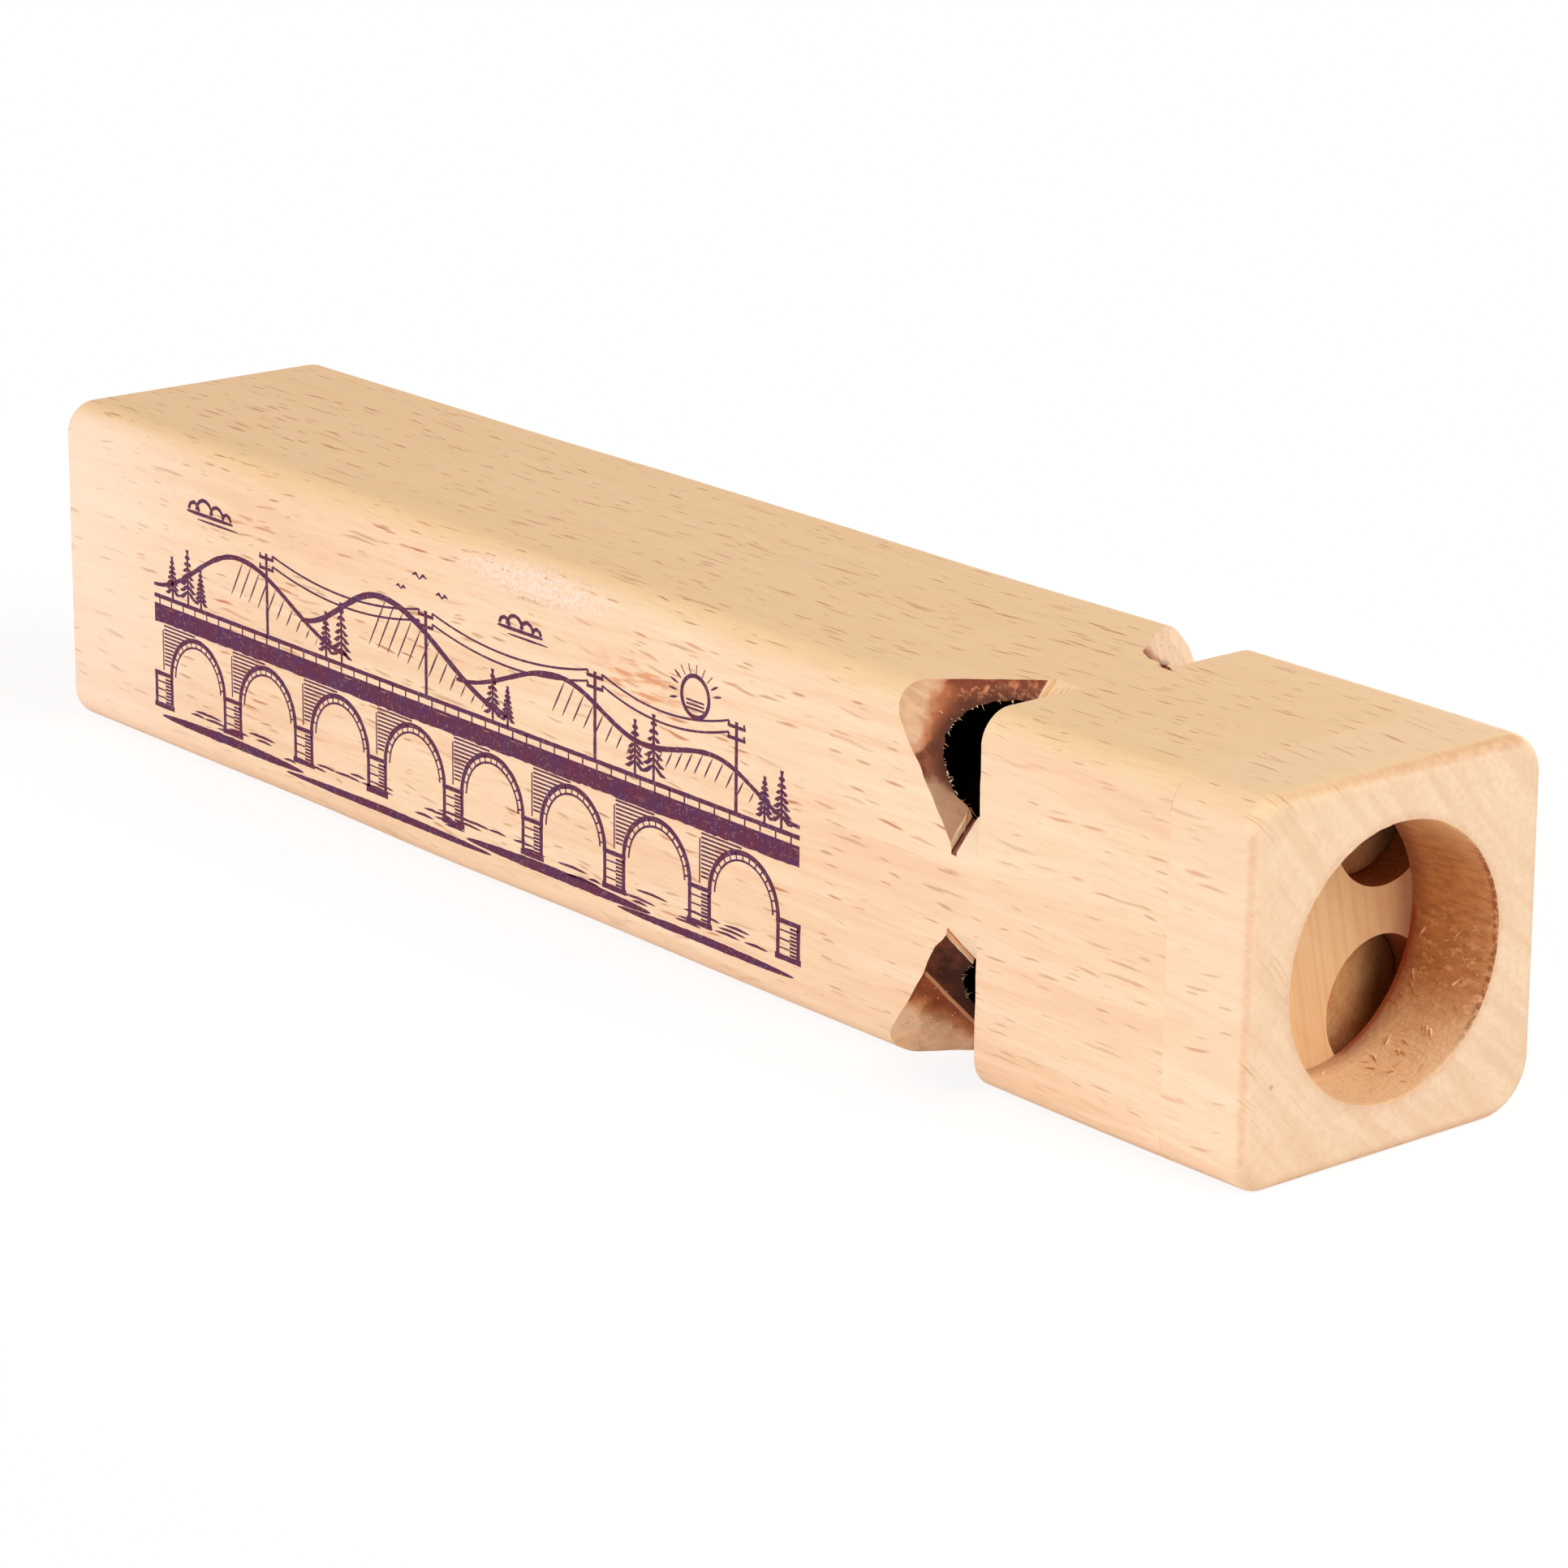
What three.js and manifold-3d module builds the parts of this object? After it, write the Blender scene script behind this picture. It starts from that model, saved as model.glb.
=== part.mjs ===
// A four-note wooden train whistle. A square beech stick has four blind pipe bores, one beside each
// long edge, drilled from the mouth end to four depths. A notch across each long edge opens its pipe
// and makes the sharp lip. A plug in each bore leaves a thin windway on its outer side, and a
// mouthpiece cap with one wide hole is glued over the end of the stick.
// Millimetres, +Z up, +X towards the mouth end, origin at the bottom centre of the stick.
import * as THREE from 'three';
import { mergeVertices } from 'three/addons/utils/BufferGeometryUtils.js';
import Module from 'manifold-3d';

const wasm = await Module();
wasm.setup();

// Driving sizes of the stick
const LENGTH = 180;
const SIDE = 35;
const LONG_EDGE_ROUND = 3.4;
const TAIL_EDGE_ROUND = 1.3;
const MOUTH_EDGE_ROUND = 1.5;

// Driving sizes of the mouthpiece cap
const CAP_THICKNESS = 10;
const MOUTH_BORE = 25;
const MOUTH_RIM_ROUND = 0.5;

// Driving sizes of the pipes: the bore, the wood left outside it, and each pipe's length from the
// notch wall to its blind end
const PIPE_BORE = 12.5;
const PIPE_OUTER_WALL = 2.35;
const LOW_PIPE = 118;
const SECOND_PIPE = 100;
const THIRD_PIPE = 80;
const HIGH_PIPE = 68;

// Driving sizes of a notch, whose depths are measured square to the long edge from its sharp corner
const NOTCH_FROM_MOUTH = 33.4;
const NOTCH_FLOOR_LENGTH = 3.4;
const NOTCH_FLOOR_DEPTH = 9.6;
const RAMP_FOOT_DEPTH = 9.1;
const RAMP_RIDGE_DEPTH = 5.5;
const INNER_RAMP_DEGREES = 45;
const OUTER_RAMP_DEGREES = 48;
const KERF_WIDTH = 0.7;
const KERF_DEPTH = 0.5;

// Driving sizes of a plug
const PLUG_CLEARANCE = 0.25;
const WINDWAY_HEIGHT = 1.2;
const PLUG_SETBACK = 3.5;

// Smoothness of the round shapes, and how far a cutter runs past what it cuts
const EDGE_STEPS = 6;
const MOUTH_STEPS = 72;
const PIPE_STEPS = 48;
const OVERRUN = 4;

// Places along the stick
const TAIL_X = -LENGTH / 2;
const MOUTH_X = LENGTH / 2;
const SEAM_X = MOUTH_X - CAP_THICKNESS;
const NOTCH_WALL_X = MOUTH_X - NOTCH_FROM_MOUTH;

// Places across the stick
const AXIS_Z = SIDE / 2;
const PIPE_RADIUS = PIPE_BORE / 2;
const PIPE_OFFSET = SIDE / 2 - PIPE_OUTER_WALL - PIPE_RADIUS;
const CORNER_TO_PIPE_AXIS = Math.SQRT2 * (PIPE_OUTER_WALL + PIPE_RADIUS);

const BEECH = { color: 0xf2cfa4, roughness: 0.62, metalness: 0 };
const CAP_BEECH = { color: 0xf0cba0, roughness: 0.62, metalness: 0 };
const PLUG_BEECH = { color: 0xb58355, roughness: 0.75, metalness: 0 };

// The four long edges: side -1 is the front and 1 the back, level 1 is the top and -1 the bottom
const EDGES = [
  { name: 'front_top', side: -1, level: 1, pipe: LOW_PIPE },
  { name: 'back_top', side: 1, level: 1, pipe: THIRD_PIPE },
  { name: 'front_bottom', side: -1, level: -1, pipe: SECOND_PIPE },
  { name: 'back_bottom', side: 1, level: -1, pipe: HIGH_PIPE },
];

// Turns a closed geometry into a solid that can be joined and cut
function solid(geometry, matrix = new THREE.Matrix4()) {
  const bare = geometry.index ? geometry.toNonIndexed() : geometry.clone();
  bare.deleteAttribute('normal');
  bare.deleteAttribute('uv');
  bare.applyMatrix4(matrix);
  const merged = mergeVertices(bare, 1e-4);
  return new wasm.Manifold(
    new wasm.Mesh({
      numProp: 3,
      vertProperties: new Float32Array(merged.attributes.position.array),
      triVerts: new Uint32Array(merged.index.array),
    })
  );
}

// Turns a solid back into a named mesh
function namedMesh(name, shape, finish) {
  const { vertProperties, triVerts } = shape.getMesh();
  const geometry = new THREE.BufferGeometry();
  geometry.setAttribute('position', new THREE.BufferAttribute(new Float32Array(vertProperties), 3));
  geometry.setIndex(new THREE.BufferAttribute(new Uint32Array(triVerts), 1));
  geometry.computeVertexNormals();
  const mesh = new THREE.Mesh(geometry, new THREE.MeshStandardMaterial(finish));
  mesh.name = name;
  return mesh;
}

// Stands a shape drawn with its own Z along the stick: its X and Y go to the directions given
function along(xAxis, yAxis, origin) {
  const zAxis = new THREE.Vector3().crossVectors(xAxis, yAxis);
  return new THREE.Matrix4().makeBasis(xAxis, yAxis, zAxis).setPosition(origin);
}

const ACROSS = new THREE.Vector3(0, 1, 0);
const UP = new THREE.Vector3(0, 0, 1);

// A square outline with four quarter-round corners, centred on the origin
function roundedSquare(side, round) {
  const half = side / 2;
  const centre = half - round;
  const outline = new THREE.Shape();
  outline.moveTo(half, -centre);
  outline.lineTo(half, centre);
  outline.absarc(centre, centre, round, 0, Math.PI / 2, false);
  outline.lineTo(-centre, half);
  outline.absarc(-centre, centre, round, Math.PI / 2, Math.PI, false);
  outline.lineTo(-half, -centre);
  outline.absarc(-centre, -centre, round, Math.PI, Math.PI * 1.5, false);
  outline.lineTo(centre, -half);
  outline.absarc(centre, -centre, round, Math.PI * 1.5, Math.PI * 2, false);
  return outline;
}

// The stick's rounded square bar between two places, with both ends rounded over by the same amount
function bar(startX, endX, endRound) {
  const outline = roundedSquare(SIDE - 2 * endRound, LONG_EDGE_ROUND - endRound);
  const geometry = new THREE.ExtrudeGeometry(outline, {
    depth: endX - startX - 2 * endRound,
    curveSegments: EDGE_STEPS,
    bevelThickness: endRound,
    bevelSize: endRound,
    bevelSegments: EDGE_STEPS,
  });
  return solid(geometry, along(ACROSS, UP, new THREE.Vector3(startX + endRound, 0, AXIS_Z)));
}

// A plain block across the whole stick between two places, used to trim bars at the seam
function trimBlock(startX, endX) {
  const width = SIDE + 2 * OVERRUN;
  const block = new THREE.BoxGeometry(endX - startX, width, width);
  const centre = new THREE.Matrix4().makeTranslation((startX + endX) / 2, 0, AXIS_Z);
  return solid(block, centre);
}

// A round drill along the stick between two places, centred at a height and a distance across
function drill(radius, startX, endX, y, z, steps) {
  const geometry = new THREE.CylinderGeometry(radius, radius, endX - startX, steps);
  const turned = new THREE.Matrix4().makeRotationZ(Math.PI / 2);
  const place = new THREE.Matrix4().makeTranslation((startX + endX) / 2, y, z);
  return solid(geometry, place.multiply(turned));
}

// The unit direction that runs square into the stick from one long edge
function inwards(edge) {
  return new THREE.Vector3(0, -edge.side, -edge.level).normalize();
}

// The sharp corner line of one long edge, before its rounding
function sharpCorner(edge, x) {
  return new THREE.Vector3(x, (edge.side * SIDE) / 2, AXIS_Z + (edge.level * SIDE) / 2);
}

// The place of one pipe's axis
function pipeAxis(edge) {
  return { y: edge.side * PIPE_OFFSET, z: AXIS_Z + edge.level * PIPE_OFFSET };
}

// How far along the stick a ramp runs while it goes down by a depth
function rampRun(depth, degrees) {
  return depth / Math.tan(THREE.MathUtils.degToRad(degrees));
}

// The notch's outline along the stick (X) and square into the edge (Y), counted from the notch wall:
// two ramps down from the tail side, a narrow kerf at their foot, the flat floor and the square wall
function notchOutline() {
  const kerfX = -NOTCH_FLOOR_LENGTH;
  const ridgeX = kerfX - rampRun(RAMP_FOOT_DEPTH - RAMP_RIDGE_DEPTH, INNER_RAMP_DEGREES);
  const startX = ridgeX - rampRun(RAMP_RIDGE_DEPTH + OVERRUN, OUTER_RAMP_DEGREES);
  const outline = new THREE.Shape();
  outline.moveTo(startX, -OVERRUN);
  outline.lineTo(0, -OVERRUN);
  outline.lineTo(0, NOTCH_FLOOR_DEPTH);
  outline.lineTo(kerfX + KERF_WIDTH, NOTCH_FLOOR_DEPTH);
  outline.lineTo(kerfX + KERF_WIDTH, NOTCH_FLOOR_DEPTH + KERF_DEPTH);
  outline.lineTo(kerfX, NOTCH_FLOOR_DEPTH + KERF_DEPTH);
  outline.lineTo(kerfX, RAMP_FOOT_DEPTH);
  outline.lineTo(ridgeX, RAMP_RIDGE_DEPTH);
  outline.closePath();
  return outline;
}

// The cutter for one long edge's notch, wide enough to leave the stick on both side faces
function notchCutter(edge) {
  const reach = NOTCH_FLOOR_DEPTH + KERF_DEPTH + OVERRUN;
  const geometry = new THREE.ExtrudeGeometry(notchOutline(), { depth: 2 * reach, bevelEnabled: false });
  geometry.translate(0, 0, -reach);
  const lengthwise = new THREE.Vector3(1, 0, 0);
  return solid(geometry, along(lengthwise, inwards(edge), sharpCorner(edge, NOTCH_WALL_X)));
}

// The stick behind the seam, with its four pipe bores and four notches
function whistleBody() {
  const blank = bar(TAIL_X, MOUTH_X, TAIL_EDGE_ROUND);
  let shape = blank.intersect(trimBlock(TAIL_X - OVERRUN, SEAM_X));
  for (const edge of EDGES) {
    const { y, z } = pipeAxis(edge);
    const blindX = NOTCH_WALL_X - edge.pipe;
    shape = shape.subtract(drill(PIPE_RADIUS, blindX, SEAM_X + OVERRUN, y, z, PIPE_STEPS));
    shape = shape.subtract(notchCutter(edge));
  }
  return namedMesh('whistle_body', shape, BEECH);
}

// The turned outline of the mouth hole, which opens out over its rounded rim
function mouthCutter() {
  const radius = MOUTH_BORE / 2;
  const rim = MOUTH_RIM_ROUND;
  const profile = [];
  profile.push(new THREE.Vector2(0, SEAM_X - OVERRUN));
  profile.push(new THREE.Vector2(radius, SEAM_X - OVERRUN));
  for (let step = 0; step <= EDGE_STEPS; step += 1) {
    const angle = (step / EDGE_STEPS) * (Math.PI / 2);
    const outward = rim * (1 - Math.cos(angle));
    const backward = rim * (1 - Math.sin(angle));
    profile.push(new THREE.Vector2(radius + outward, MOUTH_X - backward));
  }
  profile.push(new THREE.Vector2(radius + rim, MOUTH_X + OVERRUN));
  profile.push(new THREE.Vector2(0, MOUTH_X + OVERRUN));
  const turned = new THREE.Matrix4().makeRotationZ(-Math.PI / 2);
  const place = new THREE.Matrix4().makeTranslation(0, 0, AXIS_Z);
  return solid(new THREE.LatheGeometry(profile, MOUTH_STEPS), place.multiply(turned));
}

// The cap in front of the seam, with the one wide hole that the player blows into
function mouthpieceCap() {
  const blank = bar(TAIL_X, MOUTH_X, MOUTH_EDGE_ROUND);
  const cap = blank.intersect(trimBlock(SEAM_X, MOUTH_X + OVERRUN));
  return namedMesh('mouthpiece_cap', cap.subtract(mouthCutter()), CAP_BEECH);
}

// One plug: a dowel with a flat on its outer side, flush with the notch wall and set back from the
// seam. Its outline has its own Y running inwards from the long edge.
function fipplePlug(edge) {
  const radius = PIPE_RADIUS - PLUG_CLEARANCE;
  const flatY = WINDWAY_HEIGHT - PIPE_RADIUS;
  const flatAngle = Math.asin(flatY / radius);
  const outline = new THREE.Shape();
  outline.absarc(0, 0, radius, flatAngle, Math.PI - flatAngle, false);
  outline.closePath();
  const geometry = new THREE.ExtrudeGeometry(outline, {
    depth: SEAM_X - PLUG_SETBACK - NOTCH_WALL_X,
    curveSegments: PIPE_STEPS,
    bevelEnabled: false,
  });
  const inward = inwards(edge);
  const lengthwise = new THREE.Vector3(1, 0, 0);
  const sideways = new THREE.Vector3().crossVectors(inward, lengthwise);
  const centre = sharpCorner(edge, NOTCH_WALL_X).addScaledVector(inward, CORNER_TO_PIPE_AXIS);
  return namedMesh(`fipple_plug_${edge.name}`, solid(geometry, along(sideways, inward, centre)), PLUG_BEECH);
}

const whistle = new THREE.Group();
whistle.add(whistleBody());
whistle.add(mouthpieceCap());
for (const edge of EDGES) {
  whistle.add(fipplePlug(edge));
}

export default whistle;
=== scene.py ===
import math
from functools import partial

import bpy
import numpy as np
from mathutils import Matrix, Vector

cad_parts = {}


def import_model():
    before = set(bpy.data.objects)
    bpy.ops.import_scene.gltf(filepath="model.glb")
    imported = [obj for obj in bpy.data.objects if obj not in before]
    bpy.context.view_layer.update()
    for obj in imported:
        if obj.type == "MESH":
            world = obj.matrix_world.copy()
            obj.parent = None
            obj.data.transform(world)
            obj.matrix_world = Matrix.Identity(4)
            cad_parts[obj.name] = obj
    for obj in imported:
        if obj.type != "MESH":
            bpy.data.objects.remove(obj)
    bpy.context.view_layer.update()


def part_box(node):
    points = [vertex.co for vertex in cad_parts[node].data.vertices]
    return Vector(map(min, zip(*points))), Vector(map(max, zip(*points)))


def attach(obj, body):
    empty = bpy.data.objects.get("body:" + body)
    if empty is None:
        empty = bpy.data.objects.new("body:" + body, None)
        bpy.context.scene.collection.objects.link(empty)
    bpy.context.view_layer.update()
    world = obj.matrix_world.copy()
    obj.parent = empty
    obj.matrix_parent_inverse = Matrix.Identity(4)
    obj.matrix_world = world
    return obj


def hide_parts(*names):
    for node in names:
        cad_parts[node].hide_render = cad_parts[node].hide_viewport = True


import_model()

# Everything below is worked out in millimetres and written to the meshes in metres
MM = 0.001


def node_box(node):
    """Lowest and highest corner of a CAD node, in millimetres."""
    low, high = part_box(node)
    return np.array(low) / MM, np.array(high) / MM


# Places taken from the frame
body_low, body_high = node_box("whistle_body")
cap_low, cap_high = node_box("mouthpiece_cap")
TAIL_X = body_low[0]
SEAM_X = cap_low[0]
MOUTH_X = cap_high[0]
HALF = (body_high[1] - body_low[1]) / 2
AXIS_Z = (body_low[2] + body_high[2]) / 2

# The four long edges: side -1 is the front and 1 the back, level 1 is the top and -1 the bottom.
# The pipe is its length from the notch wall to its blind end. Drift is how far off the drill started at
# the seam, and stray how much further off it is from the notch on.
EDGES = {
    "front_top": {"side": -1, "level": 1, "pipe": 118.0, "drift": (-0.6, 0.65), "stray": (0.0, 0.0)},
    "back_top": {"side": 1, "level": 1, "pipe": 80.0, "drift": (-0.25, -0.1), "stray": (0.0, 0.0)},
    "front_bottom": {"side": -1, "level": -1, "pipe": 100.0, "drift": (0.4, 0.8), "stray": (0.5, 0.8)},
    "back_bottom": {"side": 1, "level": -1, "pipe": 68.0, "drift": (-0.35, 0.7), "stray": (0.0, 0.0)},
}
plug_low, plug_high = node_box("fipple_plug_back_top")
WALL_X = plug_low[0]
PLUG_FRONT_X = plug_high[0]
PIPE_OFFSET = (plug_low[1] + plug_high[1]) / 2

# Sizes of the wood's shapes. The long edges' rounding is given for back top, front top, front bottom
# and back bottom, in the order that square_ring goes round.
PIPE_RADIUS = 6.25
MOUTH_RADIUS = 12.5
LONG_EDGE_ROUND = (3.8, 3.4, 3.5, 5.2)
TAIL_EDGE_ROUND = 1.3
MOUTH_EDGE_ROUND = 1.5
MOUTH_FACE_SKEW = 0.35
BACK_LEAN = 0.8
SEAM_CHAMFER = 0.05
INK_PROUD = 0.02

# The photograph's camera
CAMERA_AT = (0.36731, -0.30228, 0.16044)
CAMERA_AIM = (0.00539, 0.00357, 0.01174)
CAMERA_ROLL_DEGREES = 0.696
CAMERA_LENS_MM = 117.25


def soft_noise(points, cell, seed):
    """Smooth noise from -1 to 1. Each corner of a grid of that cell size has a hashed value, and a point
    takes the values of the eight corners round it, blended by the smooth step 3t^2 - 2t^3 along each axis."""
    scaled = np.asarray(points, float) / np.asarray(cell, float)
    base = np.floor(scaled).astype(np.int64)
    blend = scaled - base
    blend = blend * blend * (3 - 2 * blend)
    total = np.zeros(len(scaled))
    for corner in np.ndindex(2, 2, 2):
        lattice = base + np.array(corner)
        mixed = lattice[:, 0] * 73856093 ^ lattice[:, 1] * 19349663 ^ lattice[:, 2] * 83492791 ^ seed * 40503
        mixed = (mixed ^ (mixed >> 13)) * 1274126177 & 0xFFFFFFFF
        mixed = (mixed ^ (mixed >> 16)) * 668265263 & 0xFFFFFFFF
        value = mixed / 0x7FFFFFFF - 1
        weight = np.prod(np.where(np.array(corner) == 1, blend, 1 - blend), axis=1)
        total += value * weight
    return total


def tube_faces(rows, columns):
    """Faces of a closed tube through rows of points, as corner numbers: quads that join each row to the
    next and its last column to its first, then the two flat ends, wound to match."""
    row, column = np.meshgrid(np.arange(rows - 1), np.arange(columns), indexing="ij")
    following = (column + 1) % columns
    near, far = row * columns, (row + 1) * columns
    quads = np.stack([near + column, near + following, far + following, far + column], axis=-1)
    ends = [list(range(columns - 1, -1, -1)), list(range((rows - 1) * columns, rows * columns))]
    return quads.reshape(-1, 4).tolist() + ends


def mesh_object(name, points, faces, material):
    """A mesh object at the origin from points in millimetres."""
    mesh = bpy.data.meshes.new(name)
    mesh.from_pydata((np.asarray(points, float) * MM).tolist(), [], faces)
    mesh.materials.append(material)
    mesh.validate()
    piece = bpy.data.objects.new(name, mesh)
    bpy.context.scene.collection.objects.link(piece)
    return piece


def face_outwards(piece):
    """Turns a closed mesh right way out where its faces point in: its signed volume, the sum over its
    triangles of a . (b x c) / 6, is positive when they point out."""
    mesh = piece.data
    mesh.calc_loop_triangles()
    points = np.zeros(len(mesh.vertices) * 3)
    mesh.vertices.foreach_get("co", points)
    corners = np.zeros(len(mesh.loop_triangles) * 3, np.int64)
    mesh.loop_triangles.foreach_get("vertices", corners)
    a, b, c = points.reshape(-1, 3)[corners.reshape(-1, 3)].transpose(1, 0, 2)
    if np.einsum("ij,ij->i", a, np.cross(b, c)).sum() < 0:
        mesh.flip_normals()
    return piece


def tube(name, rows, material):
    """A closed tube through rows of points in millimetres, with as many points in each row."""
    faces = tube_faces(len(rows), len(rows[0]))
    return face_outwards(mesh_object(name, np.concatenate(rows), faces, material))


# Steps round one corner of the stick's section, along one of its flats and over one rounded end
ARC_STEPS = 12
FLAT_STEPS = 14
END_STEPS = 10

# Sanding by hand: how much the long edges' rounding wanders and over what length, and the least rounding
SANDING_WANDER = 0.3
SANDING_LENGTH = 24.0
LEAST_ROUND = 0.35


def square_ring(half, corner):
    """Points round a square of that half width, whose corners are quarter circles of the radius given for
    each of the four, as (across, up) from its centre. Flats are straight between the arcs."""
    arcs = []
    for turn in range(4):
        start = turn * math.pi / 2
        angle = np.linspace(0, math.pi / 2, ARC_STEPS + 1) + start
        towards = np.sign([math.cos(start + math.pi / 4), math.sin(start + math.pi / 4)])
        centre = towards * (half - corner[turn])
        arcs.append(centre + corner[turn] * np.stack([np.cos(angle), np.sin(angle)], axis=1))
    share = np.linspace(0, 1, FLAT_STEPS + 1)[1:-1, None]
    ring = []
    for arc, following in zip(arcs, arcs[1:] + arcs[:1]):
        ring += [arc, arc[-1] + (following[0] - arc[-1]) * share]
    return np.concatenate(ring)


def end_rows(end_x, inward, rounding):
    """Stations and insets of a rounded-over end: x runs from the end by r (1 - sin a) and the outline is
    drawn in by r (1 - cos a), for a from a right angle at the end face to zero."""
    angle = np.linspace(math.pi / 2, 0, END_STEPS + 1)
    stations = end_x + inward * rounding * (1 - np.sin(angle))
    insets = rounding * (1 - np.cos(angle))
    return list(zip(stations, insets))


def stick(name, rows, material, front_inset=0.0, skew=0.0):
    """A square stick with rounded long edges through rows of (station, inset), closed by a flat face at
    each end. The edges' rounding wanders a little along the length. The front face is drawn in by an
    inset, the back face leans out towards the bottom, and skew cuts that many millimetres off the front
    of the last end face, less towards the back."""
    first, last = rows[0][0], rows[-1][0]
    rings = []
    for station, inset in rows:
        places = np.array([[station, 50.0 * turn, 0.0] for turn in range(4)])
        wander = SANDING_WANDER * soft_noise(places, (SANDING_LENGTH, 10.0, 10.0), 5)
        corner = np.maximum(np.array(LONG_EDGE_ROUND) + wander - inset, LEAST_ROUND)
        ring = square_ring(HALF - inset, corner)
        reach = (station - first) / (last - first)
        lean = skew * (ring[:, 0] / (2 * HALF) - 0.5) * reach
        across = np.maximum(ring[:, 0], -HALF + front_inset)
        across += BACK_LEAN * np.clip(ring[:, 0] / HALF, 0, 1) * (0.5 - ring[:, 1] / (2 * HALF))
        rings.append(np.column_stack([station + lean, across, AXIS_Z + ring[:, 1]]))
    return tube(name, rings, material)


def drill(name, profile, centre, material, steps, rough):
    """A surface of revolution about a line along the stick. The profile is a list of (station, radius),
    centre gives the line's place at a station, and rough how far each point is pushed outwards."""
    angle = np.arange(steps) * 2 * math.pi / steps
    rings = []
    for station, radius in profile:
        push = radius + rough(station, angle)
        across, up = centre(station)
        ring = [np.full(steps, station), across + push * np.cos(angle), up + push * np.sin(angle)]
        rings.append(np.column_stack(ring))
    return tube(name, rings, material)


# How far the cutters reach past the wood, the points' spacing on a notch cutter along its outline and
# across, and how far the kerf's walls lean
OVERRUN = 3.0
NOTCH_PITCH = 0.3
NOTCH_PITCH_ACROSS = 0.32
KERF_LEAN = 0.05

# The notches, as (station from the notch wall, depth square to the long edge from its sharp corner):
# the ramp down from the tail side, then the floor's depth and the depth and width of the kerf at the
# ramp's foot, which runs out towards the top or bottom face at kerf_end. The ridge is the depth of the
# ramp's main corner. Tilt turns the cutter about the stick, in degrees.
NOTCH_SHAPES = {
    "front_top": {
        "ramp": [(-12.0, 0.0), (-10.7, 2.1), (-8.3, 4.3), (-3.6, 8.5)],
        "ridge": 4.3, "floor": 8.96, "kerf_width": 0.75, "kerf_depth": 0.3, "kerf_end": 5.5, "tilt": -3.3,
    },
    "back_top": {
        "ramp": [(-12.2, 0.0), (-8.6, 3.9), (-5.0, 7.3)],
        "ridge": 3.9, "floor": 7.9, "kerf_width": 0.4, "kerf_depth": 0.2, "kerf_end": 6.0, "tilt": 4.0,
    },
    "front_bottom": {
        "ramp": [(-12.9, 0.0), (-9.7, 3.3), (-6.8, 6.65), (-5.4, 8.6), (-3.9, 9.6)],
        "ridge": 6.65, "floor": 9.95, "kerf_width": 0.25, "kerf_depth": 0.15, "kerf_end": 30.0, "tilt": 0.0,
    },
    "back_bottom": {
        "ramp": [(-11.8, 0.0), (-7.1, 5.6), (-3.4, 9.1)],
        "ridge": 5.6, "floor": 9.6, "kerf_width": 0.6, "kerf_depth": 0.4, "kerf_end": 30.0, "tilt": 1.5,
    },
}


def notch_outline(shape):
    """The corners of one notch's outline, in order round it."""
    ramp = shape["ramp"]
    floor_depth = shape["floor"]
    kerf_floor = floor_depth + shape["kerf_depth"]
    toe_run = (ramp[1][0] - ramp[0][0]) / ramp[1][1] * OVERRUN
    foot_x = ramp[-1][0]
    kerf_x = foot_x + shape["kerf_width"]
    return [
        (ramp[0][0] - toe_run, -OVERRUN),
        *ramp[1:],
        (foot_x + KERF_LEAN, kerf_floor),
        (kerf_x, kerf_floor),
        (kerf_x + KERF_LEAN, floor_depth),
        (0.0, floor_depth),
        (0.0, -OVERRUN),
    ]


def pipe_axis(edge, station=WALL_X):
    """The place of one pipe's axis, across and up, at a station along the stick."""
    way = min(max((SEAM_X - station) / (SEAM_X - WALL_X), 0.0), 1.0)
    across = edge["side"] * PIPE_OFFSET + edge["drift"][0] + way * edge["stray"][0]
    up = AXIS_Z + edge["level"] * PIPE_OFFSET + edge["drift"][1] + way * edge["stray"][1]
    return across, up


def notch_axes(edge, shape):
    """A notch's sharp corner at its wall, and the unit directions into the stick, at 45 degrees and its
    tilt, and across the notch towards the top or bottom face."""
    angle = math.radians(45 + shape["tilt"])
    inward = np.array([0.0, -edge["side"] * math.cos(angle), -edge["level"] * math.sin(angle)])
    sideways = np.array([0.0, -edge["side"] * math.sin(angle), edge["level"] * math.cos(angle)])
    corner = np.array([WALL_X, edge["side"] * HALF, AXIS_Z + edge["level"] * HALF])
    return corner, inward, sideways


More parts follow.
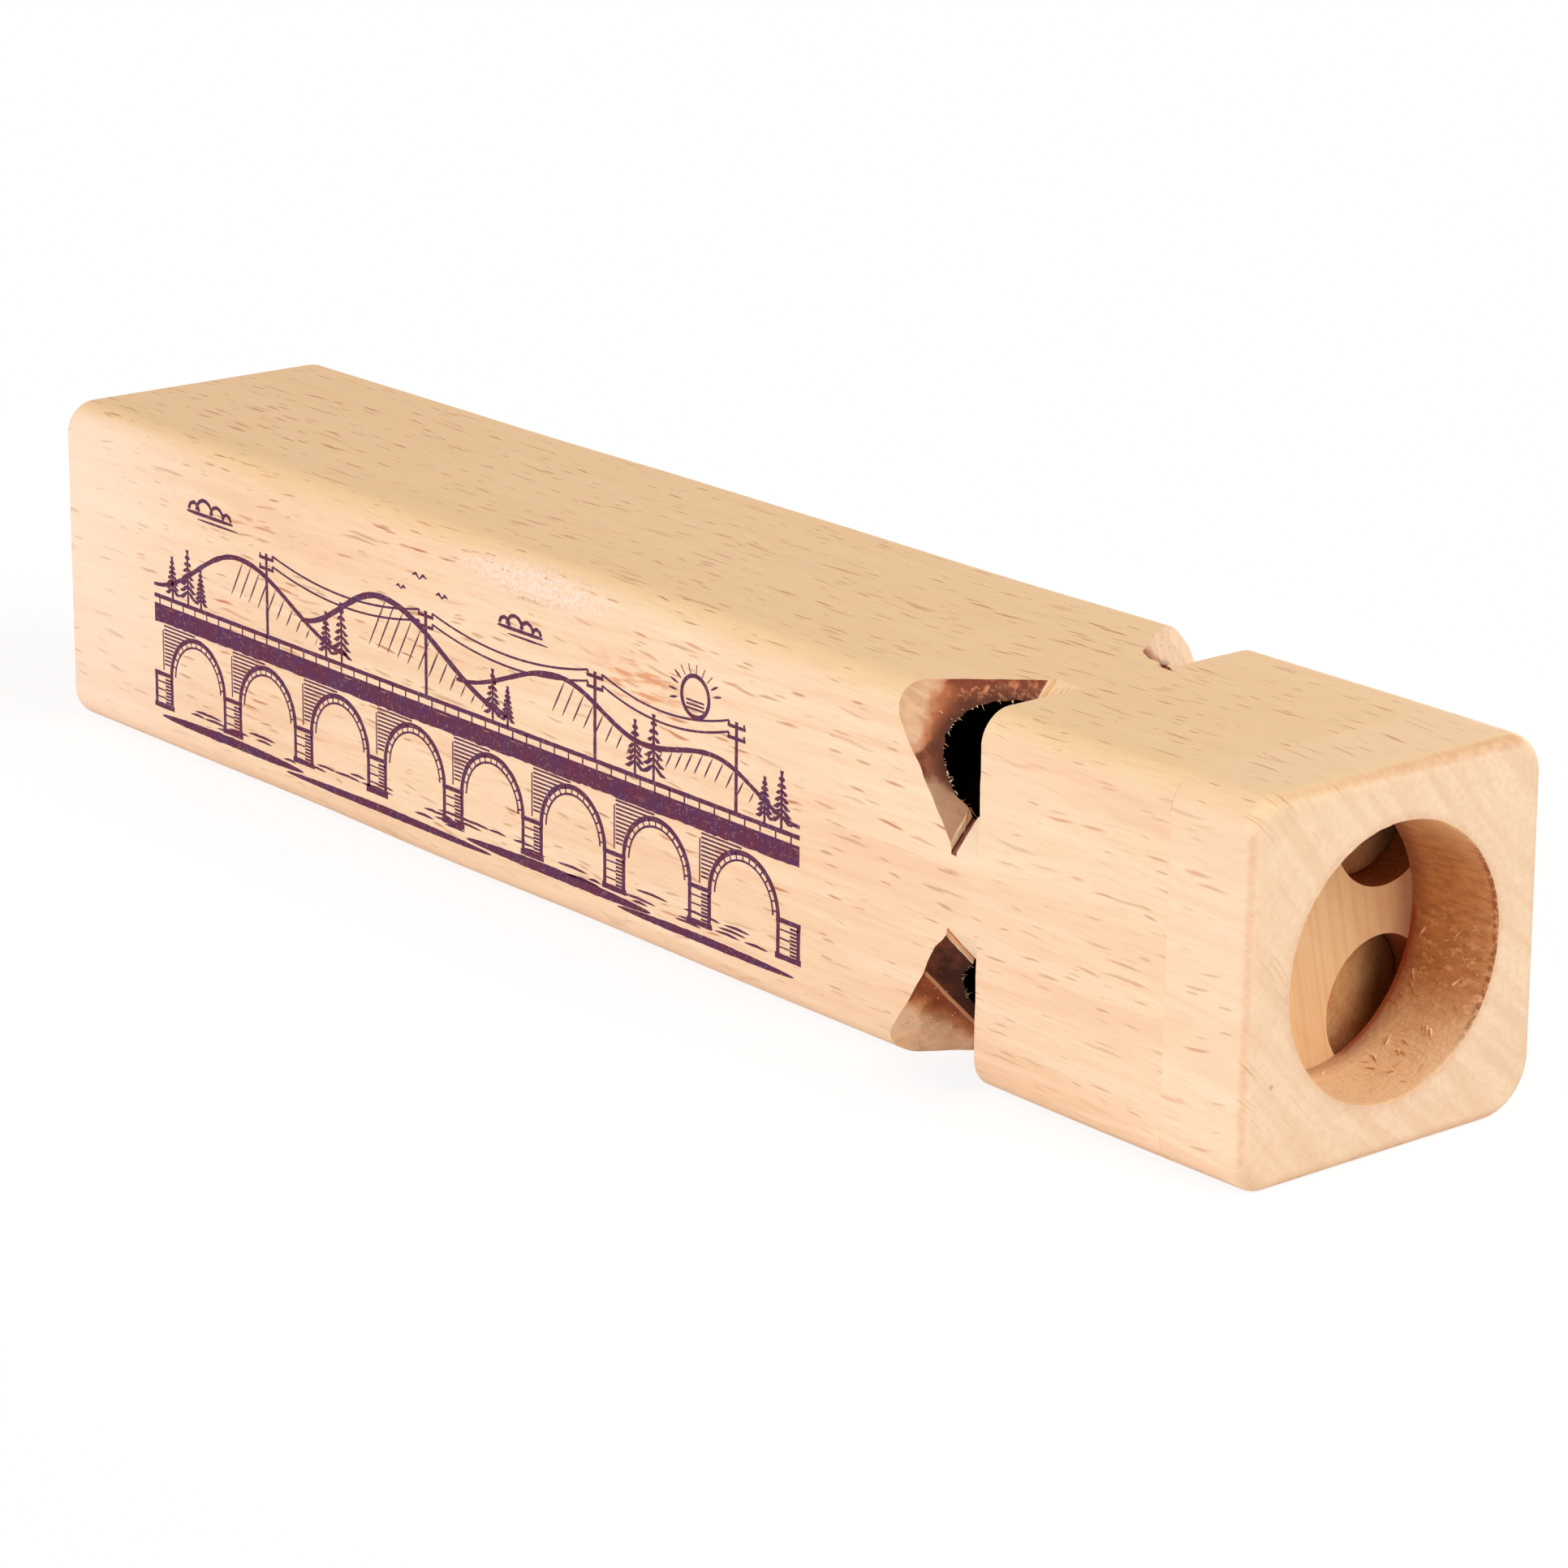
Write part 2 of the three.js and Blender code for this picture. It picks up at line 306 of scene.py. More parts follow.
def notch_cutter(name, edge, shape, material):
    """A prism with the notch's outline, carried across the long edge. Its surface is pushed in and out
    along the outline's normal by noise, less on the wall, so that the cut is torn like end grain."""
    corners = np.array(notch_outline(shape))
    outline = []
    normals = []
    for start, end in zip(corners, np.roll(corners, -1, axis=0)):
        length = np.linalg.norm(end - start)
        count = max(2, int(round(length / NOTCH_PITCH)))
        share = np.linspace(0, 1, count, endpoint=False)[:, None]
        outline.append(start + (end - start) * share)
        along = (end - start) / length
        normals.append(np.repeat([[along[1], -along[0]]], count, axis=0))
    outline = np.concatenate(outline)
    normals = np.concatenate(normals)
    reach = shape["floor"] + shape["kerf_depth"] + OVERRUN
    corner, inward, sideways = notch_axes(edge, shape)
    seed = 11 + list(EDGES).index(name)
    rows = []
    for across in np.linspace(-reach, reach, int(2 * reach / NOTCH_PITCH_ACROSS)):
        place = np.column_stack([outline, np.full(len(outline), across)])
        streaks = soft_noise(place, (2.2, 2.2, 0.45), seed)
        lumps = soft_noise(place, (1.6, 1.6, 2.4), seed + 20)
        grit = soft_noise(place, (0.5, 0.5, 0.5), seed + 40)
        push = 0.02 * streaks + 0.15 * lumps + 0.02 * grit
        on_wall = (outline[:, 0] > -0.02) | (outline[:, 1] < -0.5 * OVERRUN)
        push = np.where(on_wall, 0.25 * push, push)
        moved = outline + normals * push[:, None]
        kerf_share = float(np.clip((shape["kerf_end"] - across) / 1.5, 0.0, 1.0))
        below = np.maximum(moved[:, 1] - shape["floor"], 0.0)
        moved[:, 1] -= below * (1 - kerf_share)
        row = corner + np.outer(moved[:, 0], [1, 0, 0]) + np.outer(moved[:, 1], inward)
        rows.append(row + across * sideways)
    return tube("cutter_" + name, rows, material)


def cut(piece, cutters):
    """Takes the cutters out of the piece for good, leaves their materials on the cut faces and deletes
    them."""
    for cutter in cutters:
        modifier = piece.modifiers.new("cut", "BOOLEAN")
        modifier.operation = "DIFFERENCE"
        modifier.solver = "MANIFOLD"
        modifier.material_mode = "TRANSFER"
        modifier.object = cutter
    graph = bpy.context.evaluated_depsgraph_get()
    result = bpy.data.meshes.new_from_object(
        piece.evaluated_get(graph), preserve_all_data_layers=True, depsgraph=graph)
    piece.modifiers.clear()
    piece.data = result
    for cutter in cutters:
        bpy.data.objects.remove(cutter)


# Angles past which an edge stays sharp, in degrees, and the weight of large faces in the normals
SHARP_WOOD = 38
SHARP_PLUG = 50
NORMAL_WEIGHT = 60


def smooth(piece, degrees):
    """Smooth shading. Edges sharper than an angle stay sharp, and area-weighted normals keep flats flat."""
    piece.data.shade_smooth()
    piece.data.set_sharp_from_angle(angle=math.radians(degrees))
    weighted = piece.modifiers.new("weighted_normals", "WEIGHTED_NORMAL")
    weighted.keep_sharp = True
    weighted.weight = NORMAL_WEIGHT


def rgb(red, green, blue):
    """A colour given as eight-bit display values, as the linear values that shaders take."""
    def linear(value):
        value = value / 255
        return value / 12.92 if value <= 0.04045 else ((value + 0.055) / 1.055) ** 2.4

    return (linear(red), linear(green), linear(blue), 1.0)


class Shading:
    """The node tree of a material or world. Each method adds a node, links or sets what it is given and
    returns the node's output socket."""

    def __init__(self, name, kind=bpy.data.materials):
        self.owner = kind.new(name)
        self.owner.use_nodes = True
        self.tree = self.owner.node_tree
        self.tree.nodes.clear()

    def node(self, kind, inputs, output=0, **settings):
        made = self.tree.nodes.new(kind)
        for key, value in settings.items():
            setattr(made, key, value)
        for key, value in inputs.items():
            if isinstance(value, bpy.types.NodeSocket):
                self.tree.links.new(value, made.inputs[key])
            elif value is not None:
                made.inputs[key].default_value = value
        return made.outputs[output] if made.outputs else None

    def math(self, operation, a, b=None, c=None):
        return self.node("ShaderNodeMath", {0: a, 1: b, 2: c}, operation=operation)

    def times(self, a, b):
        return self.math("MULTIPLY", a, b)

    def minus(self, a, b):
        return self.math("SUBTRACT", a, b)

    def shifted(self, value, factor, shift):
        return self.math("MULTIPLY_ADD", value, factor, shift)

    def larger(self, a, b):
        return self.math("MAXIMUM", a, b)

    def vector(self, operation, a, b=None, output=0):
        return self.node("ShaderNodeVectorMath", {0: a, 1: b}, output, operation=operation)

    def length(self, vector):
        return self.vector("LENGTH", vector, None, 1)

    def scaled(self, vector, factor):
        return self.node("ShaderNodeVectorMath", {0: vector, "Scale": factor}, operation="SCALE")

    def join(self, x, y, z):
        return self.node("ShaderNodeCombineXYZ", {0: x, 1: y, 2: z})

    def split(self, vector):
        made = self.tree.nodes.new("ShaderNodeSeparateXYZ")
        self.tree.links.new(vector, made.inputs[0])
        return made.outputs[0], made.outputs[1], made.outputs[2]

    def stretched(self, place, factors):
        """The three parts of a place, each times its own factor."""
        return self.join(*[self.times(part, factor) for part, factor in zip(place, factors)])

    def from_line(self, y, z, centre):
        """The distance from a line along the stick that passes through a place across and up."""
        return self.length(self.join(0.0, self.minus(y, centre[0]), self.minus(z, centre[1])))

    def noise(self, vector, detail=2.0, roughness=0.5):
        inputs = {"Vector": vector, "Scale": 1.0, "Detail": detail, "Roughness": roughness}
        return self.node("ShaderNodeTexNoise", inputs)

    def cells(self, vector, output, randomness, **settings):
        inputs = {"Vector": vector, "Scale": 1.0, "Randomness": randomness}
        return self.node("ShaderNodeTexVoronoi", inputs, output, feature="F1", **settings)

    def step(self, value, low, high, to_low=0.0, to_high=1.0, smooth_step=True):
        """Goes from one value to another while the input goes from low to high."""
        kind = "SMOOTHSTEP" if smooth_step else "LINEAR"
        inputs = {0: value, 1: low, 2: high, 3: to_low, 4: to_high}
        return self.node("ShaderNodeMapRange", inputs, interpolation_type=kind)

    def mix(self, share, a, b):
        return self.node("ShaderNodeMix", {0: share, 6: a, 7: b}, 2, data_type="RGBA")

    def tones(self, pattern, low, high, first, second):
        """Goes from one colour to another while a pattern goes from low to high."""
        return self.mix(self.step(pattern, low, high), rgb(*first), rgb(*second))

    def tint(self, colour, other, pattern, low, high, weak=0.0, strong=1.0):
        """A colour with another mixed in, whose share goes from weak to strong with a pattern."""
        return self.mix(self.step(pattern, low, high, weak, strong), colour, rgb(*other))

    def position(self):
        """The place on the piece, in millimetres."""
        return self.scaled(self.node("ShaderNodeTexCoord", {}, 3), 1 / MM)

    def finish(self, colour, roughness, height, bump_mm, specular=0.35):
        """Ends the tree in a plain shader with that colour, roughness and bump."""
        bump = self.node("ShaderNodeBump", {"Height": height, "Distance": bump_mm * MM, "Strength": 1.0})
        shader = self.node("ShaderNodeBsdfPrincipled", {
            "Base Color": colour, "Roughness": roughness, "Normal": bump, "Specular IOR Level": specular})
        self.node("ShaderNodeOutputMaterial", {0: shader})
        return self.owner


def rays(s, place, lengths, shift, kept):
    """The spindle-shaped flecks of beech's rays. The place is stretched so that a cell is as long, thick
    and deep as given. A fleck is what lies round a cell's scattered point, nearer than a reach that differs
    from cell to cell; only a share of the cells keeps one. Gives the fleck and a random tone for it."""
    x, tangent, radial = place
    length, thickness, depth = lengths
    cell_place = s.join(
        s.shifted(x, 1 / length, shift), s.times(tangent, 1 / thickness), s.times(radial, 1 / depth))
    distance = s.cells(cell_place, 0, 1.0, voronoi_dimensions="3D")
    choice, size, tone = s.split(distance.node.outputs[1])
    reach = s.shifted(size, 0.20, 0.16)
    inside = s.minus(1.0, s.math("DIVIDE", distance, reach))
    fleck = s.times(s.step(inside, 0.0, 0.6), s.math("LESS_THAN", choice, kept))
    return s.times(fleck, s.shifted(tone, 0.55, 0.45)), size


# The rays' flecks, as (length, thickness and depth of a cell), shift and share of cells kept, and the small
# and the long ones that come on top of them, with their strengths
MAIN_FLECKS = ((7.0, 0.46, 9.0), 0.0, 0.56)
MORE_FLECKS = [(((4.0, 0.38, 7.0), 31.0, 0.42), 0.75), (((12.0, 0.52, 11.0), 63.0, 0.42), 0.6)]


def beech(s, place, end_grain=None):
    """Sanded beech in the solid, from the place in millimetres. Growth layers are stacked along one diagonal
    of the stick's section, and the rays are thin wavy blades along the stick and that diagonal, so they show
    as short brown flecks on the long faces and as faint diagonal lines on end grain, where end_grain is 1.
    Flecks are darker and bands fainter on the top face, which is also painted yellower to stand in for the
    warmer light that falls on it. Gives the colour and a fibre height."""
    x, y, z = s.split(place)

    def slow(along, across, amount):
        moved = s.noise(s.stretched((x, y, z), (along, across, across)), 1.0)
        return s.shifted(moved, amount, -0.5 * amount)

    bend = slow(0.014, 0.02, 7.0)
    wave = s.math("ADD", slow(0.16, 0.4, 0.7), slow(0.7, 0.8, 0.10))
    radial = s.shifted(s.minus(y, z), math.sqrt(0.5), bend)
    tangent = s.shifted(s.math("ADD", y, z), math.sqrt(0.5), bend)
    on_top = s.step(z, 2 * HALF - 2.6, 2 * HALF - 0.6)

    def streaks(along, across, deep):
        return s.noise(s.stretched((x, tangent, radial), (along, across, deep)))

    bands = streaks(0.012, 0.06, 0.30)
    layers = streaks(0.035, 0.16, 0.95)
    fibre = streaks(0.22, 3.6, 3.0)
    clouds = s.noise(s.scaled(place, 0.11))
    colour = s.tones(bands, 0.38, 0.62, (247, 209, 168), (241, 200, 157))
    colour = s.tint(colour, (250, 204, 166), clouds, 0.42, 0.64, 0.0, 0.45)
    colour = s.tint(colour, (234, 184, 141), layers, 0.50, 0.68, 0.0, 0.42)
    colour = s.tint(colour, (251, 220, 183), layers, 0.30, 0.44, 0.40, 0.0)
    # Painted light: the top face is tinted yellower to stand in for the warm light that falls on it
    colour = s.mix(s.times(on_top, 0.62), colour, rgb(243, 202, 148))
    colour = s.tint(colour, (224, 176, 132), fibre, 0.46, 0.70, 0.0, 0.26)

    wavy = (x, s.math("ADD", tangent, wave), radial)
    flecks, tone = rays(s, wavy, *MAIN_FLECKS)
    for facts, strength in MORE_FLECKS:
        flecks = s.larger(flecks, s.times(rays(s, wavy, *facts)[0], strength))
    shown = s.larger(s.step(x, 30.0, 62.0, 0.94, 0.68), s.times(on_top, 0.94))
    off_middle = s.math("ABSOLUTE", s.minus(s.math("ADD", y, z), AXIS_Z))
    flecks = s.times(s.times(flecks, shown), s.step(off_middle, 30.5, 32.5, 1.0, 0.3))
    brown = s.mix(tone, rgb(168, 112, 62), rgb(192, 110, 62))
    if end_grain is not None:
        pores = s.noise(s.scaled(place, 1.6), 3.0)
        sanded = s.tones(streaks(0.1, 0.55, 0.05), 0.38, 0.66, (250, 218, 187), (238, 199, 165))
        sanded = s.tint(sanded, (224, 178, 138), pores, 0.42, 0.70, 0.0, 0.35)
        colour = s.mix(s.times(end_grain, 0.8), colour, sanded)
        flecks = s.times(flecks, s.shifted(end_grain, -0.93, 1.0))
    return s.mix(flecks, colour, brown), fibre


def sanded_finish(s, colour, fibre):
    """Ends the tree of a sanded face, which is a little rougher between the fibres."""
    return s.finish(colour, s.step(fibre, 0.3, 0.7, 0.6, 0.5), fibre, 0.035)


def worn_edges(s, place, colour):
    """A browner band, broken up by noise, along the rounded edges of the mouth face: there both the distance
    in from the face's plane and that in from the nearest side are less than the edge's rounding. The lean
    of the back face is taken out of y first. The band is full at the front edge and weaker at the others."""
    x, y, z = s.split(place)
    widened = s.step(z, 2 * HALF, 0.0, 1.0, 1.0 + BACK_LEAN / HALF, False)
    upright_y = s.math("MINIMUM", y, s.math("DIVIDE", y, widened))
    side = s.larger(s.math("ABSOLUTE", upright_y), s.math("ABSOLUTE", s.minus(z, AXIS_Z)))
    over_side = s.step(side, HALF - MOUTH_EDGE_ROUND, HALF, 0.0, 1.0, False)
    over_face = s.step(x, MOUTH_X - MOUTH_EDGE_ROUND, MOUTH_X, 0.0, 1.0, False)
    over_both = s.step(s.math("ADD", over_side, over_face), 1.10, 1.36)
    patches = s.noise(s.scaled(place, 1.1), 3.0)
    band = s.times(over_both, s.step(patches, 0.34, 0.60, 0.5, 1.0))
    for way, low, high, weak, strong in [
        (z, 2 * HALF - 3.0, 2 * HALF - 1.0, 0.85, 0.5),
        (y, HALF - 3.0, HALF - 1.0, 1.0, 0.3),
        (y, -HALF + 3.0, -HALF + 1.0, 1.0, 1.18),
        (z, 1.0, 3.5, 0.25, 1.0),
    ]:
        band = s.times(band, s.step(way, low, high, weak, strong))
    return s.mix(band, colour, rgb(210, 142, 98))


# A warm stain and a paler rubbed place on the front face, each as its centre and reach along x, y and z,
# and a grey speck on the mouth face
STAIN = ((9.0, -HALF, 26.5), (9.0, 3.0, 3.4))
RUBBED = ((-7.0, -HALF, 32.6), (17.0, 5.0, 2.6))
SPECK = (MOUTH_X, -14.2, 9.6)


def body_beech():
    """The sanded outside of the stick, with a faint warm stain and a paler rubbed place on the front. Its end
    behind the mouth hole is bored end grain, browner, with faint upright lines, and painted shade darkens it
    where it meets the back of the hole's wall."""
    s = Shading("beech_body")
    place = s.position()
    x, y, z = s.split(place)
    within = s.larger(s.math("ABSOLUTE", y), s.math("ABSOLUTE", s.minus(z, AXIS_Z)))
    bored = s.times(s.step(x, SEAM_X - 0.10, SEAM_X - 0.04), s.step(within, HALF - 0.6, HALF - 1.0))
    end = s.larger(s.step(x, TAIL_X + 0.9, TAIL_X + 0.1), bored)
    colour, fibre = beech(s, place, end)
    pale_tail = s.times(s.step(x, -55.0, -86.0, 0.0, 0.5), s.step(y, -HALF + 2.0, -HALF + 0.5))
    colour = s.mix(pale_tail, colour, rgb(254, 224, 196))
    streak = s.step(s.noise(s.stretched((x, y, z), (0.22, 0.0, 1.3)), 3.0), 0.46, 0.60)
    specks = s.step(s.noise(s.scaled(place, 2.4), 3.0), 0.38, 0.6)
    for (centre, reach), pattern, other in [
        (STAIN, streak, (214, 128, 70)), (RUBBED, specks, (252, 220, 198)),
    ]:
        away = s.length(s.vector("DIVIDE", s.vector("SUBTRACT", place, centre), reach))
        colour = s.mix(s.times(s.step(away, 0.3, 1.0, 0.75, 0.0), pattern), colour, rgb(*other))
    lines = s.noise(s.join(0.0, s.shifted(z, 0.22, y), 0.0), 3.0)
    drilled = s.tones(lines, 0.44, 0.60, (238, 190, 134), (229, 177, 121))
    from_axis = s.from_line(y, z, (0.0, AXIS_Z))
    # Painted shade: the floor of the hole is darkened in the corner where it meets the back of its wall
    corner = s.times(s.step(from_axis, MOUTH_RADIUS - 3.2, MOUTH_RADIUS - 0.4, 0.0, 0.6), s.step(y, 2.0, 8.0))
    drilled = s.mix(corner, drilled, rgb(158, 92, 62))
    colour = s.mix(s.times(bored, 0.72), colour, drilled)
    return sanded_finish(s, colour, fibre)


def cap_beech():
    """The cap's own block of beech, a little paler, with its pattern moved so that it breaks at the seam.
    Its mouth face has worn edges, a fuzzy browner halo round the hole and a grey speck."""
    s = Shading("beech_cap")
    place = s.position()
    x, y, z = s.split(place)
    end = s.step(x, MOUTH_X - 0.7, MOUTH_X - 0.1)
    colour, fibre = beech(s, s.vector("ADD", place, (30.0, 0.6, 0.4)), end)
    colour = s.mix(0.14, colour, rgb(250, 219, 188))
    colour = worn_edges(s, place, colour)
    fuzz = s.noise(s.scaled(place, 1.5), 3.0)
    fuzzy_way = s.shifted(fuzz, 1.6, s.from_line(y, z, (0.0, AXIS_Z)))
    halo = s.step(fuzzy_way, MOUTH_RADIUS + 0.7, MOUTH_RADIUS + 1.9, 0.35, 0.0)
    colour = s.mix(s.times(halo, end), colour, rgb(214, 156, 120))
    colour = s.tint(colour, (120, 90, 84), s.vector("DISTANCE", place, SPECK, 1), 0.2, 0.5, 0.7, 0.0)
    return sanded_finish(s, colour, fibre)


def notch_beech(name, edge, shape, colouring):
    """The cut faces of a notch. With d the depth and v the way across towards the top or bottom face, the
    wood is warm brown past the line d = a + b v and dark past a second such line, both broken up by noise,
    and pale elsewhere: on the outer ramp, on the floor and beyond a lowest v."""
    s = Shading("beech_notch_" + name)
    place = s.position()
    x, y, z = s.split(place)
    corner, inward, sideways = notch_axes(edge, shape)
    from_corner = s.vector("SUBTRACT", place, tuple(corner))
    depth = s.vector("DOT_PRODUCT", from_corner, tuple(inward), 1)
    across = s.vector("DOT_PRODUCT", from_corner, tuple(sideways), 1)
    ahead = s.minus(x, WALL_X)
    patches = s.noise(s.scaled(place, 0.7), 3.0)
    torn = s.noise(s.stretched((across, x, depth), (1.3, 0.25, 0.25)))
    lines = s.noise(s.stretched((across, x, depth), (0.25, 1.1, 1.1)), 3.0)
    grit = s.noise(s.scaled(place, 3.2), 3.0)

    def past(line, wobble):
        """How far beyond the line, with its edge moved by the patches."""
        straight = s.minus(depth, s.shifted(across, line[1], line[0]))
        return s.math("ADD", straight, s.shifted(patches, wobble, -0.5 * wobble))

    # Pale wood, with lines, blots, facets and a grey end
    lowest = colouring["low"]
    blots = s.noise(s.scaled(place, 0.55), 3.0, 0.6)
    facet_place = s.join(s.times(across, 0.42), s.times(depth, 0.5), 0.0)
    facets = s.cells(facet_place, 1, 0.7, voronoi_dimensions="2D", distance="CHEBYCHEV")
    facet = s.split(facets)[0]
    pale = s.tones(torn, 0.38, 0.64, *colouring["pale"])
    pale = s.tint(pale, (190, 140, 104), lines, 0.58, 0.70, 0.0, 0.22)
    pale = s.tint(pale, (196, 128, 92), blots, 0.46, 0.66, 0.0, colouring["smudge"])
    pale = s.tint(pale, (206, 150, 112), facet, 0.2, 0.9, 0.0, 0.32)
    pale = s.tint(pale, (180, 136, 102), across, lowest + 1.5, lowest - 0.5, 0.0, 0.6)

    # Warm brown past the first line and charred past the second, mottled, and singed round the pipe
    warm = past(colouring["warm_line"], 1.6)
    brown = s.tones(warm, 0.2, 1.6, *colouring["warm"])
    brown = s.tint(brown, (150, 88, 54), grit, 0.50, 0.72, 0.0, 0.45)
    brown = s.tint(brown, (122, 60, 38), facet, 0.2, 0.9, 0.0, 0.4)
    colour = s.mix(s.step(warm, -colouring["soft"], colouring["soft"]), pale, brown)
    dark = s.step(past(colouring["dark_line"], 0.5), -0.12, 0.16)
    charred = s.tones(patches, 0.36, 0.60, *colouring["dark"])
    charred = s.tint(charred, (150, 112, 92), grit, 0.60, 0.72, 0.0, 0.35)
    colour = s.mix(s.times(dark, s.step(across, 2.0, 5.0, 1.0, colouring["top_char"])), colour, charred)
    mottle = s.step(s.noise(s.scaled(place, 1.2), 3.0, 0.65), 0.50, 0.64, 0.0, colouring["mottle"])
    colour = s.mix(s.times(mottle, s.step(across, 1.0, 3.5)), colour, rgb(226, 146, 100))
    singed = s.shifted(patches, 1.6, s.from_line(y, z, pipe_axis(edge)))
    colour = s.tint(colour, (60, 31, 22), singed, PIPE_RADIUS + 0.8, PIPE_RADIUS + 2.1, 0.75, 0.0)

    # Only on the ramp and above the lowest v, with a painted highlight along the ridge and a darker rim
    foot = shape["ramp"][-1][0]
    on_ramp = s.step(ahead, foot + 0.02, foot - 0.15)
    reached = s.step(s.shifted(patches, 1.2, across), lowest + 0.1, lowest + 1.1)
    reached = s.times(reached, on_ramp)
    colour = s.mix(reached, pale, colour)
    from_ridge = s.math("ABSOLUTE", s.minus(depth, shape["ridge"]))
    # Painted highlight: a pale line along the ridge, where the edge between the ramp's facets would catch the
    # light
    ridge_highlight = s.times(s.step(from_ridge, 0.07, 0.20, colouring["line"], 0.0), on_ramp)
    colour = s.mix(ridge_highlight, colour, rgb(222, 158, 112))
    rim = s.larger(s.step(z, 2 * HALF - 0.75, 2 * HALF - 0.1), s.step(y, -HALF + 0.45, -HALF + 0.05))
    rim = s.times(s.times(rim, s.step(warm, 0.1, 0.8)), reached)
    colour = s.mix(s.times(rim, s.step(patches, 0.35, 0.6, 0.3, 0.8)), colour, rgb(122, 52, 34))

    # The bare floor, and the kerf at the ramp's foot, whose dark colour is partly burn and partly painted
    # shade in the slot
    bare = s.tones(across, 1.5, 4.0, (253, 222, 184), (238, 202, 158))
    colour = s.mix(on_ramp, bare, colour)
    kerf_far, kerf_end = foot + shape["kerf_width"], shape["kerf_end"]
    in_kerf = s.step(depth, shape["floor"] - 0.03, shape["floor"] + 0.06)
    in_kerf = s.times(in_kerf, s.step(ahead, kerf_far + 0.15, kerf_far))
    in_kerf = s.times(in_kerf, s.step(across, kerf_end, kerf_end - 1.2))
    colour = s.mix(in_kerf, colour, s.tones(lines, 0.44, 0.56, *colouring["kerf"]))
    height = s.math("ADD", s.times(torn, 0.15), s.times(grit, 0.4))
    return s.finish(colour, 0.7, height, 0.10, 0.2)


def pipe_beech():
    """The drilled wall of a pipe, brown by the mouth and nearly black round the notch and beyond it."""
    s = Shading("beech_pipe")
    place = s.position()
    grit = s.noise(s.scaled(place, 2.0), 3.0)
    colour = s.mix(grit, rgb(186, 116, 72), rgb(130, 76, 48))
    colour = s.tint(colour, (20, 10, 8), s.split(place)[0], WALL_X + 17.0, WALL_X + 10.0, 0.0, 0.96)
    return s.finish(colour, 0.85, grit, 0.2, 0.05)


def mouth_beech():
    """The drilled wall of the mouth hole: warmer than the sanded faces, with torn grain along the stick. It
    is browner at the back, partly painted shade on the side turned from the light, and by the back of its
    rim. It is paler high up, and paler low down, where that is painted light on the wall that faces up.
    Painted shade darkens it where it meets the floor of the hole, and there is a red glow low at the back."""
    s = Shading("beech_mouth_wall")
    place = s.position()
    x, y, z = s.split(place)
    torn = s.noise(s.stretched((x, y, z), (0.5, 1.9, 1.9)), 4.0, 0.6)
    grit = s.noise(s.scaled(place, 2.2))
    colour = s.mix(0.6, beech(s, place)[0], rgb(250, 184, 126))
    colour = s.tint(colour, (204, 128, 78), torn, 0.52, 0.70, 0.0, 0.5)
    colour = s.tint(colour, (246, 200, 154), torn, 0.26, 0.40, 0.6, 0.0)
    # Partly painted shade: the back of the wall, turned from the light, is browner
    back = s.tones(torn, 0.4, 0.6, (208, 134, 72), (180, 106, 52))
    colour = s.mix(s.step(y, 4.0, 11.0, 0.0, 0.65), colour, back)
    raised = s.noise(s.stretched((x, y, z), (1.0, 1.5, 1.5)), 3.0, 0.65)
    raised = s.times(s.step(raised, 0.54, 0.61, 0.0, 0.6), s.step(z, AXIS_Z + 3.0, AXIS_Z - 3.0))
    colour = s.mix(raised, colour, rgb(252, 208, 156))
    colour = s.tint(colour, (250, 208, 160), z, AXIS_Z + 6.0, AXIS_Z + 11.0, 0.0, 0.45)
    # Painted light: the lower wall, which faces up, is paler
    colour = s.tint(colour, (255, 214, 168), z, AXIS_Z - 4.0, AXIS_Z - 10.5, 0.0, 0.8)
    # Painted shade: darker where the wall meets the floor of the hole
    colour = s.tint(colour, (160, 94, 68), x, SEAM_X + 2.6, SEAM_X + 0.1, 0.0, 0.6)
    low_back = s.times(s.step(z, AXIS_Z + 1.5, AXIS_Z - 1.5), s.step(y, 2.5, 5.5))
    glow = s.times(s.step(x, SEAM_X + 0.8, SEAM_X + 0.25, 0.0, 0.8), low_back)
    colour = s.mix(glow, colour, rgb(176, 80, 40))
    rim = s.times(s.step(x, MOUTH_X - 0.65, MOUTH_X - 0.3), s.step(y, 7.0, 11.0, 0.0, 0.75))
    colour = s.mix(s.times(rim, s.step(grit, 0.36, 0.60)), colour, rgb(140, 74, 40))
    return s.finish(colour, 0.75, s.shifted(grit, 0.5, torn), 0.2, 0.15)


def plug_beech():
    """Sawn end grain of the dowels, warm brown, with painted shade: duller in the upper two, and a dark
    painted shadow on each one's side towards the back, under the cap's wall."""
    s = Shading("beech_plug")
    place = s.position()
    y, z = s.split(place)[1:]
    clouds = s.noise(s.scaled(place, 0.5))
    grit = s.noise(s.scaled(place, 2.0), 3.0)
    colour = s.tones(clouds, 0.38, 0.62, (255, 198, 136), (248, 176, 118))
    colour = s.tint(colour, (206, 138, 90), grit, 0.50, 0.72, 0.0, 0.35)
    # Painted shade: the upper two plugs are duller
    colour = s.tint(colour, (150, 112, 92), z, AXIS_Z - 2.0, AXIS_Z + 2.0, 0.0, 0.35)
    # Painted shadow: dark on each plug's side towards the back, where the cap's wall shades it
    beside = s.minus(y, s.times(s.math("SIGN", y), PIPE_OFFSET))
    colour = s.tint(colour, (84, 42, 22), beside, -1.0, 4.0, 0.0, 0.75)
    return s.finish(colour, 0.85, grit, 0.12, 0.1)


